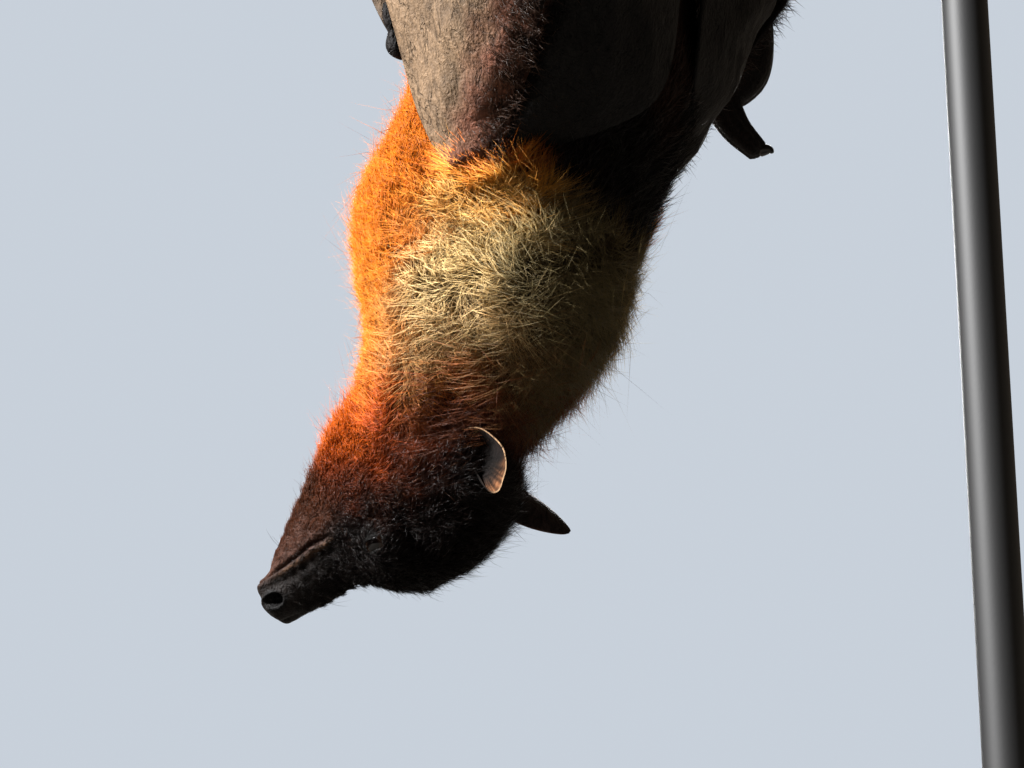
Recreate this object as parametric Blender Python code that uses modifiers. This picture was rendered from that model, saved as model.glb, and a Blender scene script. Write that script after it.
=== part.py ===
"""Flying fox hanging head down from a cut branch on a plain display stand: the solids.

Metres, +Z up. The origin is the middle of the stand's base, on its underside.
The bat hangs head down with its belly toward -Y, so its back faces +Y and its right side +X.
The bat's own points are given in millimetres from SHOULDERS, the point midway between its
shoulder joints, with +z toward the feet. Every solid of flesh reaches out to the tips of the coat.
"""

import math

import bmesh
import bpy
import numpy as np
from mathutils import Matrix

MM = 0.001
SHOULDERS = np.array((0.0, -0.045, 0.290))
SEAM = 0.00035  # gap kept between two solids that touch
MITRE_LIMIT = 2.5  # most that a sharp corner moves out, in seams, when a cutter is grown

# The head's own axes: forward along the muzzle, toward its left ear, and up through the crown.
HEAD_ORIGIN = np.array((4.0, -12.0, -84.0))
HEAD_FORWARD = np.array((0.266, -0.856, -0.444))
HEAD_LEFT = np.array((-0.962, -0.261, -0.077))

# Joints of the wings and legs; x counts outward from the middle plane on both sides.
SHOULDER = (34.5, 3, 1)
ELBOW = {"right": (68, 80, 88), "left": (66, 52, 100)}
WRIST = {"right": (54, -72, 172), "left": (48, -112, 162)}
KNUCKLES = {"right": (74, 38, 112), "left": (71, 9, 118)}
HIP = (15, 14, 144)
KNEE = (50, 24, 184)
ANKLE = (22, 14, 243)
SIDE_SIGN = {"right": 1, "left": -1}

WING_THICKNESS = 1.2 * MM
EAR_THICKNESS = 1.1 * MM
EAR_ROOT = (-0.8, 15.0, -3.2)
EAR_TIP = (-12.0, 25.0, 16.8)
EAR_FACING = (0.80, 0.58, -0.1)
EAR_HALF_WIDTH = 6.4
CUP_ROOT = (-5.0, -13.0, 0.5)
CUP_ROOT_RADIUS = 3.6
CUP_BELLY = 1.6
# Rim of the right ear, which is turned to show its cup: forward, left and up in the head.
CUP_RIM = (
    (-5.4, -19.0, -6.2),
    (-8.9, -19.8, -4.9),
    (-11.4, -20.7, -1.4),
    (-13.6, -22.2, 5.5),
    (-12.6, -23.5, 11.4),
    (-10.2, -24.3, 15.1),
    (-8.2, -24.6, 17.2),
    (-5.9, -24.0, 16.8),
    (-3.1, -23.0, 13.7),
    (-1.4, -21.0, 8.6),
    (-0.8, -19.0, 2.5),
    (-2.1, -18.0, -2.8),
)
EYE_CENTRE = (29.5, 13.6, 8.6)
EYE_RADIUS = 5.6
MOUTH_CORNER = (44.0, -3.2)

PERCH_AXIS = (-3.0, 275.0)  # y and z
PERCH_RADIUS = 12.0
PERCH_LENGTH = 170.0
TOE_SPACING = 4.7
TOE_RADIUS = 2.05

BASE_SIZE = (0.200, 0.300, 0.014)
BASE_BEVEL = 0.003
ROD_RADIUS = 0.006
ROD_PLACE_Y = 0.095
COLLAR_LENGTH = 0.018
COLLAR_WALL = 0.0022


# ---------------------------------------------------------------- scene and materials


def clear_scene():
    for obj in list(bpy.data.objects):
        bpy.data.objects.remove(obj, do_unlink=True)


def collection(name):
    group = bpy.data.collections.new(name)
    bpy.context.scene.collection.children.link(group)
    return group


def paint(name, colour, roughness, metallic=0.0):
    """A Principled material of one colour, roughness and metallic value."""
    material = bpy.data.materials.new(name)
    material.use_nodes = True
    shader = material.node_tree.nodes["Principled BSDF"]
    shader.inputs["Base Color"].default_value = (*colour, 1.0)
    shader.inputs["Roughness"].default_value = roughness
    shader.inputs["Metallic"].default_value = metallic
    return material


clear_scene()
PARTS = collection("flying_fox")
CUTTERS = collection("cutters")

DARK_FUR = paint("dark brown fur", (0.030, 0.016, 0.010), 0.9)
MANTLE_FUR = paint("straw mantle fur", (0.46, 0.28, 0.12), 0.9)
WING_SKIN = paint("wing membrane", (0.075, 0.060, 0.052), 0.6)
BARE_SKIN = paint("bare dark skin", (0.035, 0.028, 0.026), 0.5)
EYE_SURFACE = paint("wet eye", (0.020, 0.008, 0.004), 0.05)
CLAW_HORN = paint("black horn", (0.012, 0.010, 0.009), 0.35)
BARK = paint("branch bark", (0.14, 0.095, 0.065), 0.9)
STAND_PAINT = paint("black stand paint", (0.020, 0.020, 0.022), 0.45)


# ---------------------------------------------------------------- curves and frames


def body(points):
    """Millimetres from the shoulders turned to metres in the part's frame."""
    return SHOULDERS + MM * np.asarray(points, float)


def mirrored(points, side):
    """Points given for the right side, moved to the named side."""
    return np.asarray(points, float) * (SIDE_SIGN[side], 1, 1)


def unit(vectors):
    return vectors / np.linalg.norm(vectors, axis=-1, keepdims=True)


HEAD_FORWARD = unit(HEAD_FORWARD)
HEAD_LEFT = unit(HEAD_LEFT - HEAD_FORWARD * (HEAD_LEFT @ HEAD_FORWARD))
HEAD_AXES = np.stack((HEAD_FORWARD, HEAD_LEFT, np.cross(HEAD_FORWARD, HEAD_LEFT)))


def in_head(points):
    """Points forward, left and up in the head, turned to millimetres from the shoulders."""
    return HEAD_ORIGIN + np.asarray(points, float) @ HEAD_AXES


def smooth(rows, count):
    """Catmull-Rom curve through rows of numbers, at count even steps of chord length."""
    rows = np.asarray(rows, float)
    steps = np.linalg.norm(np.diff(rows[:, :3], axis=0), axis=1)
    knots = np.concatenate(([0.0], np.cumsum(steps)))
    slopes = np.gradient(rows, knots, axis=0)
    places = np.linspace(0.0, knots[-1], count)
    span = np.clip(np.searchsorted(knots, places, side="right") - 1, 0, len(rows) - 2)
    width = (knots[span + 1] - knots[span])[:, None]
    t = ((places - knots[span])[:, None]) / width
    return (
        (2 * t**3 - 3 * t**2 + 1) * rows[span]
        + (t**3 - 2 * t**2 + t) * width * slopes[span]
        + (3 * t**2 - 2 * t**3) * rows[span + 1]
        + (t**3 - t**2) * width * slopes[span + 1]
    )


def frames(path, across):
    """Tangents of a path and two normals to it, the first as near to across as can be."""
    tangents = unit(np.gradient(path, axis=0))
    across = np.asarray(across, float)
    first = unit(across - tangents * (tangents @ across)[:, None])
    return tangents, first, np.cross(tangents, first)


# ---------------------------------------------------------------- solids

WHOLE_MESHES = {}  # each lofted solid as it was before any cut, by name


def add_mesh(name, points, faces, material):
    """One object of the given points in metres, its faces turned outward."""
    mesh = bpy.data.meshes.new(name)
    mesh.from_pydata([tuple(p) for p in points], [], faces)
    mesh.materials.append(material)
    obj = bpy.data.objects.new(name, mesh)
    PARTS.objects.link(obj)
    shape = bmesh.new()
    shape.from_mesh(mesh)
    bmesh.ops.recalc_face_normals(shape, faces=shape.faces)
    shape.to_mesh(mesh)
    shape.free()
    mesh.shade_smooth()
    return obj


def loft(name, rings, material, start_pole=None, end_pole=None):
    """A closed solid through rings of equally many points, with a fan over each end ring."""
    rings = np.asarray(rings, float)
    count, sides = rings.shape[:2]
    start = rings[0].mean(axis=0) if start_pole is None else start_pole
    end = rings[-1].mean(axis=0) if end_pole is None else end_pole
    points = body(np.concatenate((rings.reshape(-1, 3), [start], [end])))
    faces = []
    for ring in range(count - 1):
        for side in range(sides):
            a = ring * sides + side
            b = ring * sides + (side + 1) % sides
            faces.append((a, b, b + sides, a + sides))
    last = (count - 1) * sides
    for side in range(sides):
        beside = (side + 1) % sides
        faces.append((count * sides, beside, side))
        faces.append((count * sides + 1, last + side, last + beside))
    obj = add_mesh(name, points, faces, material)
    WHOLE_MESHES[name] = obj.data.copy()
    return obj


def limb(name, rows, material, sides=10, count=8, flat=1.0, across=(1, 0, 0)):
    """A tapering round limb through rows of (x, y, z, radius); flat thins it across."""
    rows = smooth(rows, count)
    path, radii = rows[:, :3], rows[:, 3]
    tangents, first, second = frames(path, across)
    angles = np.linspace(0, 2 * math.pi, sides, endpoint=False)
    rings = (
        path[:, None]
        + first[:, None] * (np.cos(angles) * flat)[None, :, None] * radii[:, None, None]
        + second[:, None] * np.sin(angles)[None, :, None] * radii[:, None, None]
    )
    start = path[0] - tangents[0] * radii[0] * 0.5
    end = path[-1] + tangents[-1] * radii[-1] * 0.5
    return loft(name, rings, material, start, end)


def sheet(name, first_edge, second_edge, bulge, material, thickness, size=(14, 7)):
    """A membrane between two edges that meet or nearly meet at their ends.

    Each edge is a smooth curve, and the middle of the sheet is pushed along bulge by a sine.
    """
    along, across = size
    first, second = smooth(first_edge, along), smooth(second_edge, along)
    share = np.linspace(0, 1, across)[None, :, None]
    ends = np.sin(np.linspace(0.12, 0.94, along) * math.pi)[:, None, None]
    grid = first[:, None] * (1 - share) + second[:, None] * share
    grid = grid + np.asarray(bulge, float) * np.sin(share * math.pi) * ends
    return thick_grid(name, grid, material, thickness)


def thick_grid(name, grid, material, thickness):
    """An open grid of points given its thickness by Solidify."""
    along, across = grid.shape[:2]
    faces = [
        (a, a + 1, a + across + 1, a + across)
        for row in range(along - 1)
        for a in range(row * across, row * across + across - 1)
    ]
    obj = add_mesh(name, body(grid.reshape(-1, 3)), faces, material)
    wall = obj.modifiers.new("thickness", "SOLIDIFY")
    wall.thickness = thickness
    wall.offset = 0.0
    wall.use_even_offset = False
    return settle(obj)


def ring_of_rows(row, sides):
    """Ring of a trunk or neck section: (x, y, z, half width, reach to front, reach to back)."""
    angles = np.linspace(0, 2 * math.pi, sides, endpoint=False)
    cosines, sines = np.cos(angles), np.sin(angles)
    deep = np.where(sines < 0, row[4], row[5])
    return cosines * row[3], sines * deep


# ---------------------------------------------------------------- joining and parting


def surface_area(verts):
    return sum(face.calc_area() for face in {face for vert in verts for face in vert.link_faces})


def settle(obj):
    """Applies the object's modifiers and keeps only the largest of its bodies."""
    bpy.context.view_layer.update()
    graph = bpy.context.evaluated_depsgraph_get()
    mesh = bpy.data.meshes.new_from_object(obj.evaluated_get(graph))
    shape = bmesh.new()
    shape.from_mesh(mesh)
    bmesh.ops.remove_doubles(shape, verts=shape.verts, dist=0.00002)
    islands = []
    waiting = set(shape.verts)
    while waiting:
        seed = waiting.pop()
        island, edge_of_search = {seed}, [seed]
        while edge_of_search:
            for edge in edge_of_search.pop().link_edges:
                for vert in edge.verts:
                    if vert in waiting:
                        waiting.discard(vert)
                        island.add(vert)
                        edge_of_search.append(vert)
        islands.append(island)
    islands.sort(key=surface_area)
    for island in islands[:-1]:
        bmesh.ops.delete(shape, geom=list(island), context="VERTS")
    bmesh.ops.triangulate(shape, faces=shape.faces)
    shape.to_mesh(mesh)
    shape.free()
    obj.modifiers.clear()
    obj.data = mesh
    return obj


def guide(name, mesh):
    """A cutter: an object that the build leaves out."""
    obj = bpy.data.objects.new(name, mesh)
    CUTTERS.objects.link(obj)
    obj.hide_render = True
    obj.display_type = "WIRE"
    return obj


def swollen(obj, distance):
    """A cutter in the shape that obj had before it was cut, grown outward by distance."""
    mesh = WHOLE_MESHES.get(obj.name, obj.data).copy()
    shape = bmesh.new()
    shape.from_mesh(mesh)
    shape.normal_update()
    moves = [
        (vert, vert.normal * distance * min(vert.calc_shell_factor(), MITRE_LIMIT))
        for vert in shape.verts
    ]
    for vert, move in moves:
        vert.co += move
    shape.to_mesh(mesh)
    shape.free()
    cutter = guide(obj.name + ".swollen", mesh)
    bpy.context.view_layer.update()
    cutter.matrix_world = obj.matrix_world
    return cutter


def boolean(obj, cutter, operation):
    step = obj.modifiers.new(operation.lower(), "BOOLEAN")
    step.object = cutter
    step.operation = operation
    step.solver = "EXACT"
    return settle(obj)


def keep_clear(obj, *neighbours):
    """Cuts obj back from each neighbour, leaving the seam between them."""
    for neighbour in neighbours:
        boolean(obj, swollen(neighbour, SEAM), "DIFFERENCE")
    return obj


def join(first, *others):
    """Unites solids that overlap into the first, which keeps its name."""
    for other in others:
        boolean(first, other, "UNION")
        bpy.data.objects.remove(other, do_unlink=True)
    WHOLE_MESHES[first.name] = first.data.copy()
    return first


# ---------------------------------------------------------------- trunk and neck

# Sections from rump to nape: x, y, z, half width, reach to the belly, reach to the back.
TRUNK_ROWS = (
    (0, 13, 171, 9, 8, 8),
    (0, 13, 160, 25, 23, 22),
    (0, 14, 140, 35, 32, 30),
    (0, 14, 110, 40, 39, 36),
    (0, 14, 70, 43, 43, 40),
    (0, 14, 45, 44, 44, 41),
    (0, 12.5, 28, 44.5, 45, 42),
    (0, 6.5, 13, 45.5, 48, 43.5),
    (0, 0, 0, 47, 50, 40),
    (0, -9, -16, 45, 42.5, 42.5),
    (1, -10, -24, 43.5, 39.5, 42),
)
NECK_ROWS = (
    (1, -10, -24, 43.5, 39.5, 42),
    (3, -11.5, -42, 39, 34, 39.5),
    (4, -18, -57, 33, 31.5, 35),
    (5, -25, -70, 27, 28, 28.5),
    (6, -30, -80, 20, 22, 20),
)
BODY_SIDES = 22


def section_rings(rows, count):
    """Level rings through the rows of the trunk or the neck."""
    rings = []
    for row in smooth(rows, count):
        wide, deep = ring_of_rows(row, BODY_SIDES)
        rings.append(row[:3] + np.stack((wide, deep, np.zeros(BODY_SIDES)), axis=1))
    return np.array(rings)


def make_trunk():
    return loft("trunk", section_rings(TRUNK_ROWS, 15), DARK_FUR)


def make_neck():
    rings = section_rings(NECK_ROWS, 7)
    rings[0, :, 2] -= SEAM / MM
    return loft("neck", rings, MANTLE_FUR)


# ---------------------------------------------------------------- head

# Sections from the nose to the back of the skull: forward, up, half height, half width.
HEAD_ROWS = (
    (71.2, 0.8, 4.6, 5.4),
    (69.9, 0.3, 7.0, 7.2),
    (67.4, -0.1, 8.2, 7.8),
    (63.8, -1.4, 9.9, 8.4),
    (59.0, -3.2, 12.4, 9.2),
    (52.0, -6.2, 15.6, 10.6),
    (46.0, -8.6, 18.2, 12.0),
    (41.0, -9.4, 21.6, 14.2),
    (36.0, -9.4, 25.6, 16.6),
    (28.0, -10.2, 30.6, 19.4),
    (16.0, -10.6, 33.2, 21.6),
    (5.0, -7.4, 27.4, 20.6),
    (-3.0, -3.6, 17.4, 16.4),
    (-8.5, -2.4, 9.6, 9.6),
)
HEAD_SIDES = 22
HEAD_RINGS = 20


def make_skull():
    """The whole head as one loft, before the jaw and eyes are cut from it."""
    rows = [(forward, 0, up, high, wide) for forward, up, high, wide in HEAD_ROWS]
    rows = smooth(rows, HEAD_RINGS)
    angles = np.linspace(0, 2 * math.pi, HEAD_SIDES, endpoint=False)
    rings = np.zeros((HEAD_RINGS, HEAD_SIDES, 3))
    rings[:, :, 0] = rows[:, 0, None]
    rings[:, :, 1] = np.cos(angles) * rows[:, 4, None]
    rings[:, :, 2] = rows[:, 2, None] + np.sin(angles) * rows[:, 3, None]
    nose = in_head((HEAD_ROWS[0][0] + 0.8, 0, HEAD_ROWS[0][1]))
    nape = in_head((HEAD_ROWS[-1][0] - 2.5, 0, HEAD_ROWS[-1][1]))
    return loft("head", in_head(rings), DARK_FUR, nose, nape)


def make_jaw_wedge():
    """The wedge below the mouth line that holds the lower jaw."""
    corner, front, low, reach = MOUTH_CORNER, 90.0, -60.0, 40.0
    outline = ((corner[0], corner[1]), (front, -4.4), (front, low), (corner[0] - 19, low))
    points = [in_head((f, side * reach, k)) for side in (-1, 1) for f, k in outline]
    faces = [(0, 1, 2, 3), (4, 5, 6, 7)]
    faces += [(i, (i + 1) % 4, 4 + (i + 1) % 4, 4 + i) for i in range(4)]
    wedge = add_mesh("jaw_wedge", body(points), faces, DARK_FUR)
    PARTS.objects.unlink(wedge)
    mesh = wedge.data
    bpy.data.objects.remove(wedge)
    return guide("jaw_wedge", mesh)


def make_eye(side):
    forward, out, up = EYE_CENTRE
    centre = body(in_head((forward, -SIDE_SIGN[side] * out, up)))
    bpy.ops.mesh.primitive_uv_sphere_add(
        segments=12, ring_count=8, radius=EYE_RADIUS * MM, location=tuple(centre)
    )
    eye = bpy.context.object
    eye.name = "eye_" + side
    eye.data.materials.append(EYE_SURFACE)
    for group in eye.users_collection:
        group.objects.unlink(eye)
    PARTS.objects.link(eye)
    return eye


def make_left_ear():
    """A cupped leaf: a curled strip whose half width swells and then runs to a blunt point."""
    root = np.array(EAR_ROOT)
    axis = np.array(EAR_TIP) - root
    facing = np.array(EAR_FACING)
    facing = unit(facing - unit(axis) * (facing @ unit(axis)))
    sideways = unit(np.cross(axis, facing))
    u = np.linspace(0.0, 1.0, 11)[:, None]
    v = np.linspace(-1.0, 1.0, 9)[None, :]
    half_width = EAR_HALF_WIDTH * np.sin(np.pi * (0.2 + 0.8 * u) ** 0.85).clip(0) ** 0.7 + 0.5
    curl = np.radians(66.0 - 30.0 * u)
    cup = half_width / np.sin(curl)
    grid = (
        root
        + axis * u[..., None]
        + sideways * (cup * np.sin(curl * v))[..., None]
        + facing * (cup * (1.0 - np.cos(curl * v)) * 0.75)[..., None]
    )
    return thick_grid("ear_left", in_head(grid), BARE_SKIN, EAR_THICKNESS)


def closed_curve(points, count):
    """Catmull-Rom curve through points, joined end to start."""
    points = np.asarray(points, float)
    places = np.linspace(0, len(points), count, endpoint=False)
    span = places.astype(int)
    t = (places - span)[:, None]
    a, b, c, d = (points[(span + step) % len(points)] for step in (-1, 0, 1, 2))
    return b + 0.5 * t * (c - a + t * (2 * a - 5 * b + 4 * c - d + t * (3 * b - a - 3 * c + d)))


def make_right_ear():
    """An ear seen into: a wall that swells from a round root to a slanting rim, and back inside."""
    rim = closed_curve(CUP_RIM, 20)
    outward = unit(rim - rim.mean(axis=0))
    root = np.array(CUP_ROOT) + outward * CUP_ROOT_RADIUS
    waist = (root + rim) / 2 + outward * CUP_BELLY
    half = EAR_THICKNESS / MM / 2
    steps = [(u, half) for u in np.linspace(0, 1, 6)] + [(u, -half) for u in np.linspace(1, 0.2, 6)]
    rings = [
        (1 - u) ** 2 * root + 2 * u * (1 - u) * waist + u**2 * rim + outward * offset
        for u, offset in steps
    ]
    return loft("ear_right", in_head(np.array(rings)), BARE_SKIN)


def make_head():
    """Head, lower jaw, eyes and ears, parted from each other."""
    wedge = make_jaw_wedge()
    head = make_skull()
    jaw = bpy.data.objects.new("lower_jaw", head.data.copy())
    PARTS.objects.link(jaw)
    boolean(jaw, wedge, "INTERSECT")
    boolean(head, swollen(wedge, SEAM * 1.5), "DIFFERENCE")
    eyes = [make_eye(side) for side in SIDE_SIGN]
    keep_clear(head, *eyes)
    ears = [keep_clear(ear, head) for ear in (make_left_ear(), make_right_ear())]
    return head, jaw, ears


# ---------------------------------------------------------------- wings


def make_arm(side, trunk, neck):
    """Upper arm and forearm, each cut clear of what it grows from."""
    shoulder, elbow, wrist = (mirrored(p, side) for p in (SHOULDER, ELBOW[side], WRIST[side]))
    upper_rows = [
        (*(shoulder + (elbow - shoulder) * share), radius)
        for share, radius in ((0.0, 10.5), (0.16, 13), (0.55, 9.5), (0.85, 8.5), (0.99, 7.5))
    ]
    upper = limb("upper_arm_" + side, upper_rows, DARK_FUR, count=8)
    fore_rows = [
        (*(elbow + (wrist - elbow) * share), radius)
        for share, radius in ((0.0, 7.5), (0.14, 8.5), (0.45, 6.8), (0.85, 4.8), (1.0, 5.4))
    ]
    fore = limb("forearm_" + side, fore_rows, WING_SKIN, count=9)
    keep_clear(upper, trunk, neck)
    keep_clear(fore, upper)
    return upper, fore


def make_hand(side, fore):
    """The folded fingers, a bundle from the wrist back along the outside of the forearm."""
    wrist, knuckles = mirrored(WRIST[side], side), mirrored(KNUCKLES[side], side)
    rows = [
        (*(wrist + (knuckles - wrist) * share), radius)
        for share, radius in ((0.02, 5.0), (0.3, 6.4), (0.7, 7.2), (1.0, 6.6))
    ]
    hand = limb("hand_" + side, rows, WING_SKIN, sides=8, count=7)
    return keep_clear(hand, fore)


# Thumbs from the wrist out to the root of the claw: x, y, z, radius, and the claw beyond.
THUMB_ROWS = {
    "right": ((55, -76, 171, 4.6), (56, -86, 160, 4.2), (56, -93, 143, 3.6), (55, -95, 128, 3.0)),
    "left": ((46, -114, 161, 4.6), (36, -122, 153, 4.2), (22, -127, 146, 3.6), (10, -127, 144, 3.0)),
}
THUMB_CLAW_ROWS = {
    "right": ((55, -95, 126.5, 2.6), (55, -94, 120, 2.0), (55, -89, 114, 1.2), (55, -84, 112, 0.5)),
    "left": ((8.5, -127, 144, 2.6), (3, -125, 143, 2.0), (-2, -120, 141, 1.2), (-3, -115, 139, 0.5)),
}


def make_thumb(side, fore, hand):
    rows = [(*mirrored(row[:3], side), row[3]) for row in THUMB_ROWS[side]]
    claw_rows = [(*mirrored(row[:3], side), row[3]) for row in THUMB_CLAW_ROWS[side]]
    thumb = limb("thumb_" + side, rows, WING_SKIN, sides=8, count=6)
    claw = limb("thumb_claw_" + side, claw_rows, CLAW_HORN, sides=8, count=6)
    keep_clear(thumb, fore, hand)
    keep_clear(claw, thumb)


# Wing tips from the knuckles on: the right one lies back along the hand, the left one hangs.
TIP_ROWS = {
    "right": (
        (79, 34, 118, 6.0),
        (86, 14, 130, 6.4),
        (84, -14, 146, 5.6),
        (76, -40, 160, 4.2),
        (68, -60, 169, 2.6),
    ),
    "left": (
        (73, 13, 113, 6.0),
        (79, 26, 92, 8.0),
        (80, 29, 72, 10.5),
        (79.5, 28.5, 60, 9.5),
        (77.5, 23.5, 50, 6.3),
        (77, 27, 41, 5.0),
        (79, 34, 31.5, 3.6),
    ),
}
INDEX_CLAW_ROWS = {
    "right": ((90, 20, 131, 1.3), (94, 18, 128, 1.3), (97, 17, 123, 1.0), (97, 18, 118, 0.5)),
    "left": ((79.6, 35, 31.6, 2.0), (80, 36.6, 31.6, 1.7), (80.2, 37.9, 31.2, 1.2), (80.2, 38.7, 30.4, 0.6)),
}


def make_tip(side, hand, fore):
    rows = [(*mirrored(row[:3], side), row[3]) for row in TIP_ROWS[side]]
    claw_rows = [(*mirrored(row[:3], side), row[3]) for row in INDEX_CLAW_ROWS[side]]
    tip = limb("wing_tip_" + side, rows, WING_SKIN, sides=8, count=11)
    claw = limb("index_claw_" + side, claw_rows, CLAW_HORN, sides=6, count=5)
    keep_clear(tip, hand, fore)
    keep_clear(claw, tip)
    return tip


# The front membrane's free edge, from the shoulder to the wrist.
LEADING_EDGE = {
    "right": ((34, -3, -4), (44, -3.3, 10), (50, -5.2, 24), (56, -9.6, 43), (62, -26, 86), (60, -50, 134)),
    "left": ((34, -6, -2), (37, -32, 26), (35, -58, 58), (32, -74, 80), (36, -95, 122)),
}
# The flank membrane's root, from the shoulder over the back beside the spine to the ankle.
NAPE_END = {
    "right": ((32, 22, -2), (20, 38, 4), (9, 50, 14)),
    "left": ((32, 20, 12), (20, 44, 20), (9, 53, 28)),
}
BACK_EDGE = (
    (6, 57, 42),
    (6, 58, 66),
    (8, 55, 100),
    (14, 45, 136),
    (30, 32, 166),
    (49, 28, 188),
    (36, 22, 216),
    (25, 19, 238),
)


def make_membranes(side, bones):
    shoulder, elbow, wrist = (mirrored(p, side) for p in (SHOULDER, ELBOW[side], WRIST[side]))
    edge = [*mirrored(LEADING_EDGE[side], side), wrist]
    bones_edge = [shoulder, (shoulder + elbow) / 2, elbow, (elbow + wrist) / 2, wrist]
    front = sheet(
        "propatagium_" + side, edge, bones_edge, mirrored((7, -3, 0), side), WING_SKIN, WING_THICKNESS
    )
    far_edge = [
        shoulder + (0, 10, 2),
        (shoulder + elbow) / 2 + (0, 3, 0),
        elbow,
        elbow + (wrist - elbow) * 0.33,
        elbow + (wrist - elbow) * 0.66,
        wrist + (0, 6, 2),
    ]
    flank = sheet(
        "plagiopatagium_" + side,
        mirrored((*NAPE_END[side], *BACK_EDGE), side),
        far_edge,
        mirrored((16, 10, 0), side),
        WING_SKIN,
        WING_THICKNESS,
        size=(16, 8),
    )
    keep_clear(front, *bones)
    keep_clear(flank, *bones, front)


# ---------------------------------------------------------------- legs and feet


def make_leg(side, trunk):
    hip, knee, ankle = (mirrored(p, side) for p in (HIP, KNEE, ANKLE))
    thigh_rows = [
        (*(hip + (knee - hip) * share), radius)
        for share, radius in ((0.0, 15), (0.35, 13), (0.7, 9.5), (1.0, 7.5))
    ]
    shank_rows = [
        (*(knee + (ankle - knee) * share), radius)
        for share, radius in ((0.0, 7.0), (0.3, 6.2), (0.7, 4.6), (1.0, 4.2))
    ]
    thigh = limb("thigh_" + side, thigh_rows, DARK_FUR, sides=10, count=6)
    shank = limb("shank_" + side, shank_rows, BARE_SKIN, sides=10, count=6)
    keep_clear(thigh, trunk)
    keep_clear(shank, thigh)
    return thigh, shank


def around_perch(x, degrees, distance):
    """A point beside the perch: 0 degrees is behind it, 90 on top and 180 in front."""
    turn = math.radians(degrees)
    return (
        x,
        PERCH_AXIS[0] + distance * math.cos(turn),
        PERCH_AXIS[1] + distance * math.sin(turn),
    )


def make_foot(side, perch, shank):
    """The sole and five toes over the perch, and a claw on each toe."""
    ankle = mirrored(ANKLE, side)
    middle = ankle[0]
    ball = around_perch(middle, -12, PERCH_RADIUS + 4.0)
    sole_rows = [(*ankle, 4.4), (middle, ankle[1] + 1.5, 252, 4.4), (*ball, 4.2)]
    foot = limb("foot_" + side, sole_rows, BARE_SKIN, sides=10, count=4, flat=2.1)
    toe_distance = PERCH_RADIUS + TOE_RADIUS + 0.4
    toes, claws = [], []
    for number in range(5):
        spread = number - 2
        x = middle + spread * TOE_SPACING
        reach = 158 - 6 * abs(spread)
        toe_rows = [
            (*around_perch(x - spread * 0.6, -20, toe_distance + 1.2), TOE_RADIUS + 0.2),
            *(
                (*around_perch(x, turn, toe_distance), TOE_RADIUS)
                for turn in np.linspace(10, reach, 5)
            ),
        ]
        toes.append(limb("toe", toe_rows, BARE_SKIN, sides=8, count=8))
        claw_rows = [
            (*around_perch(x, reach + step, toe_distance + lift), radius)
            for step, lift, radius in ((3, 0.2, 1.7), (22, 0.9, 1.5), (42, 0.4, 1.0), (60, -1.2, 0.45))
        ]
        claws.append(limb(f"toe_claw_{side}_{number + 1}", claw_rows, CLAW_HORN, sides=6, count=5))
    join(foot, *toes)
    keep_clear(foot, perch, shank)
    for claw in claws:
        keep_clear(claw, perch, foot)


# ---------------------------------------------------------------- perch and stand


def make_perch():
    """A short cut length of branch, a little crooked, with flat sawn ends."""
    count, sides = 9, 14
    x = np.linspace(-PERCH_LENGTH / 2, PERCH_LENGTH / 2, count)
    angles = np.linspace(0, 2 * math.pi, sides, endpoint=False)
    rings = np.zeros((count, sides, 3))
    for ring in range(count):
        swell = 1 - 0.07 * (1 + math.cos(4 * math.pi * ring / (count - 1)) * 0.5)
        rings[ring, :, 0] = x[ring]
        rings[ring, :, 1] = PERCH_AXIS[0] + PERCH_RADIUS * swell * np.cos(angles)
        rings[ring, :, 2] = PERCH_AXIS[1] + PERCH_RADIUS * swell * np.sin(angles)
    return loft("perch", rings, BARK)


def own_mesh(obj, name, material):
    """Names a primitive, gives it its material and moves it to the parts' collection."""
    obj.name = name
    obj.data.materials.append(material)
    for group in obj.users_collection:
        group.objects.unlink(obj)
    PARTS.objects.link(obj)
    return obj


def cylinder(name, radius, length, centre, rotation=(0, 0, 0), sides=24):
    bpy.ops.mesh.primitive_cylinder_add(
        vertices=sides, radius=radius, depth=length, location=tuple(centre), rotation=rotation
    )
    rod = own_mesh(bpy.context.object, name, STAND_PAINT)
    rod.data.shade_smooth()
    rod.data.set_sharp_from_angle(angle=math.radians(40))
    return rod


def make_stand(perch):
    """A flat base, an upright behind the bat and an arm forward to the middle of the perch."""
    bpy.ops.mesh.primitive_cube_add(size=1.0, location=(0, 0, BASE_SIZE[2] / 2))
    base = own_mesh(bpy.context.object, "stand_base", STAND_PAINT)
    base.data.transform(Matrix.Diagonal((*BASE_SIZE, 1.0)))
    edge = base.modifiers.new("edge", "BEVEL")
    edge.width = BASE_BEVEL
    edge.segments = 2

    perch_y, perch_z = body((0, *PERCH_AXIS))[1:]
    foot_of_rod = BASE_SIZE[2] + 0.0003
    top = perch_z + ROD_RADIUS + 0.006
    upright_centre = (0, ROD_PLACE_Y, (foot_of_rod + top) / 2)
    upright = cylinder("stand_upright", ROD_RADIUS, top - foot_of_rod, upright_centre)

    back_end = ROD_PLACE_Y - ROD_RADIUS + 0.003
    arm_centre = (0, (back_end + perch_y) / 2, perch_z)
    arm = cylinder(
        "stand_arm", ROD_RADIUS * 0.8, back_end - perch_y, arm_centre, (math.pi / 2, 0, 0), sides=20
    )
    collar_radius = PERCH_RADIUS * MM + COLLAR_WALL
    collar_centre = (0, perch_y, perch_z)
    collar = cylinder(
        "stand_collar", collar_radius, COLLAR_LENGTH, collar_centre, (0, math.pi / 2, 0)
    )
    keep_clear(settle(collar), perch)
    keep_clear(settle(arm), collar, perch, settle(upright))


# ---------------------------------------------------------------- assembly


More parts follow.
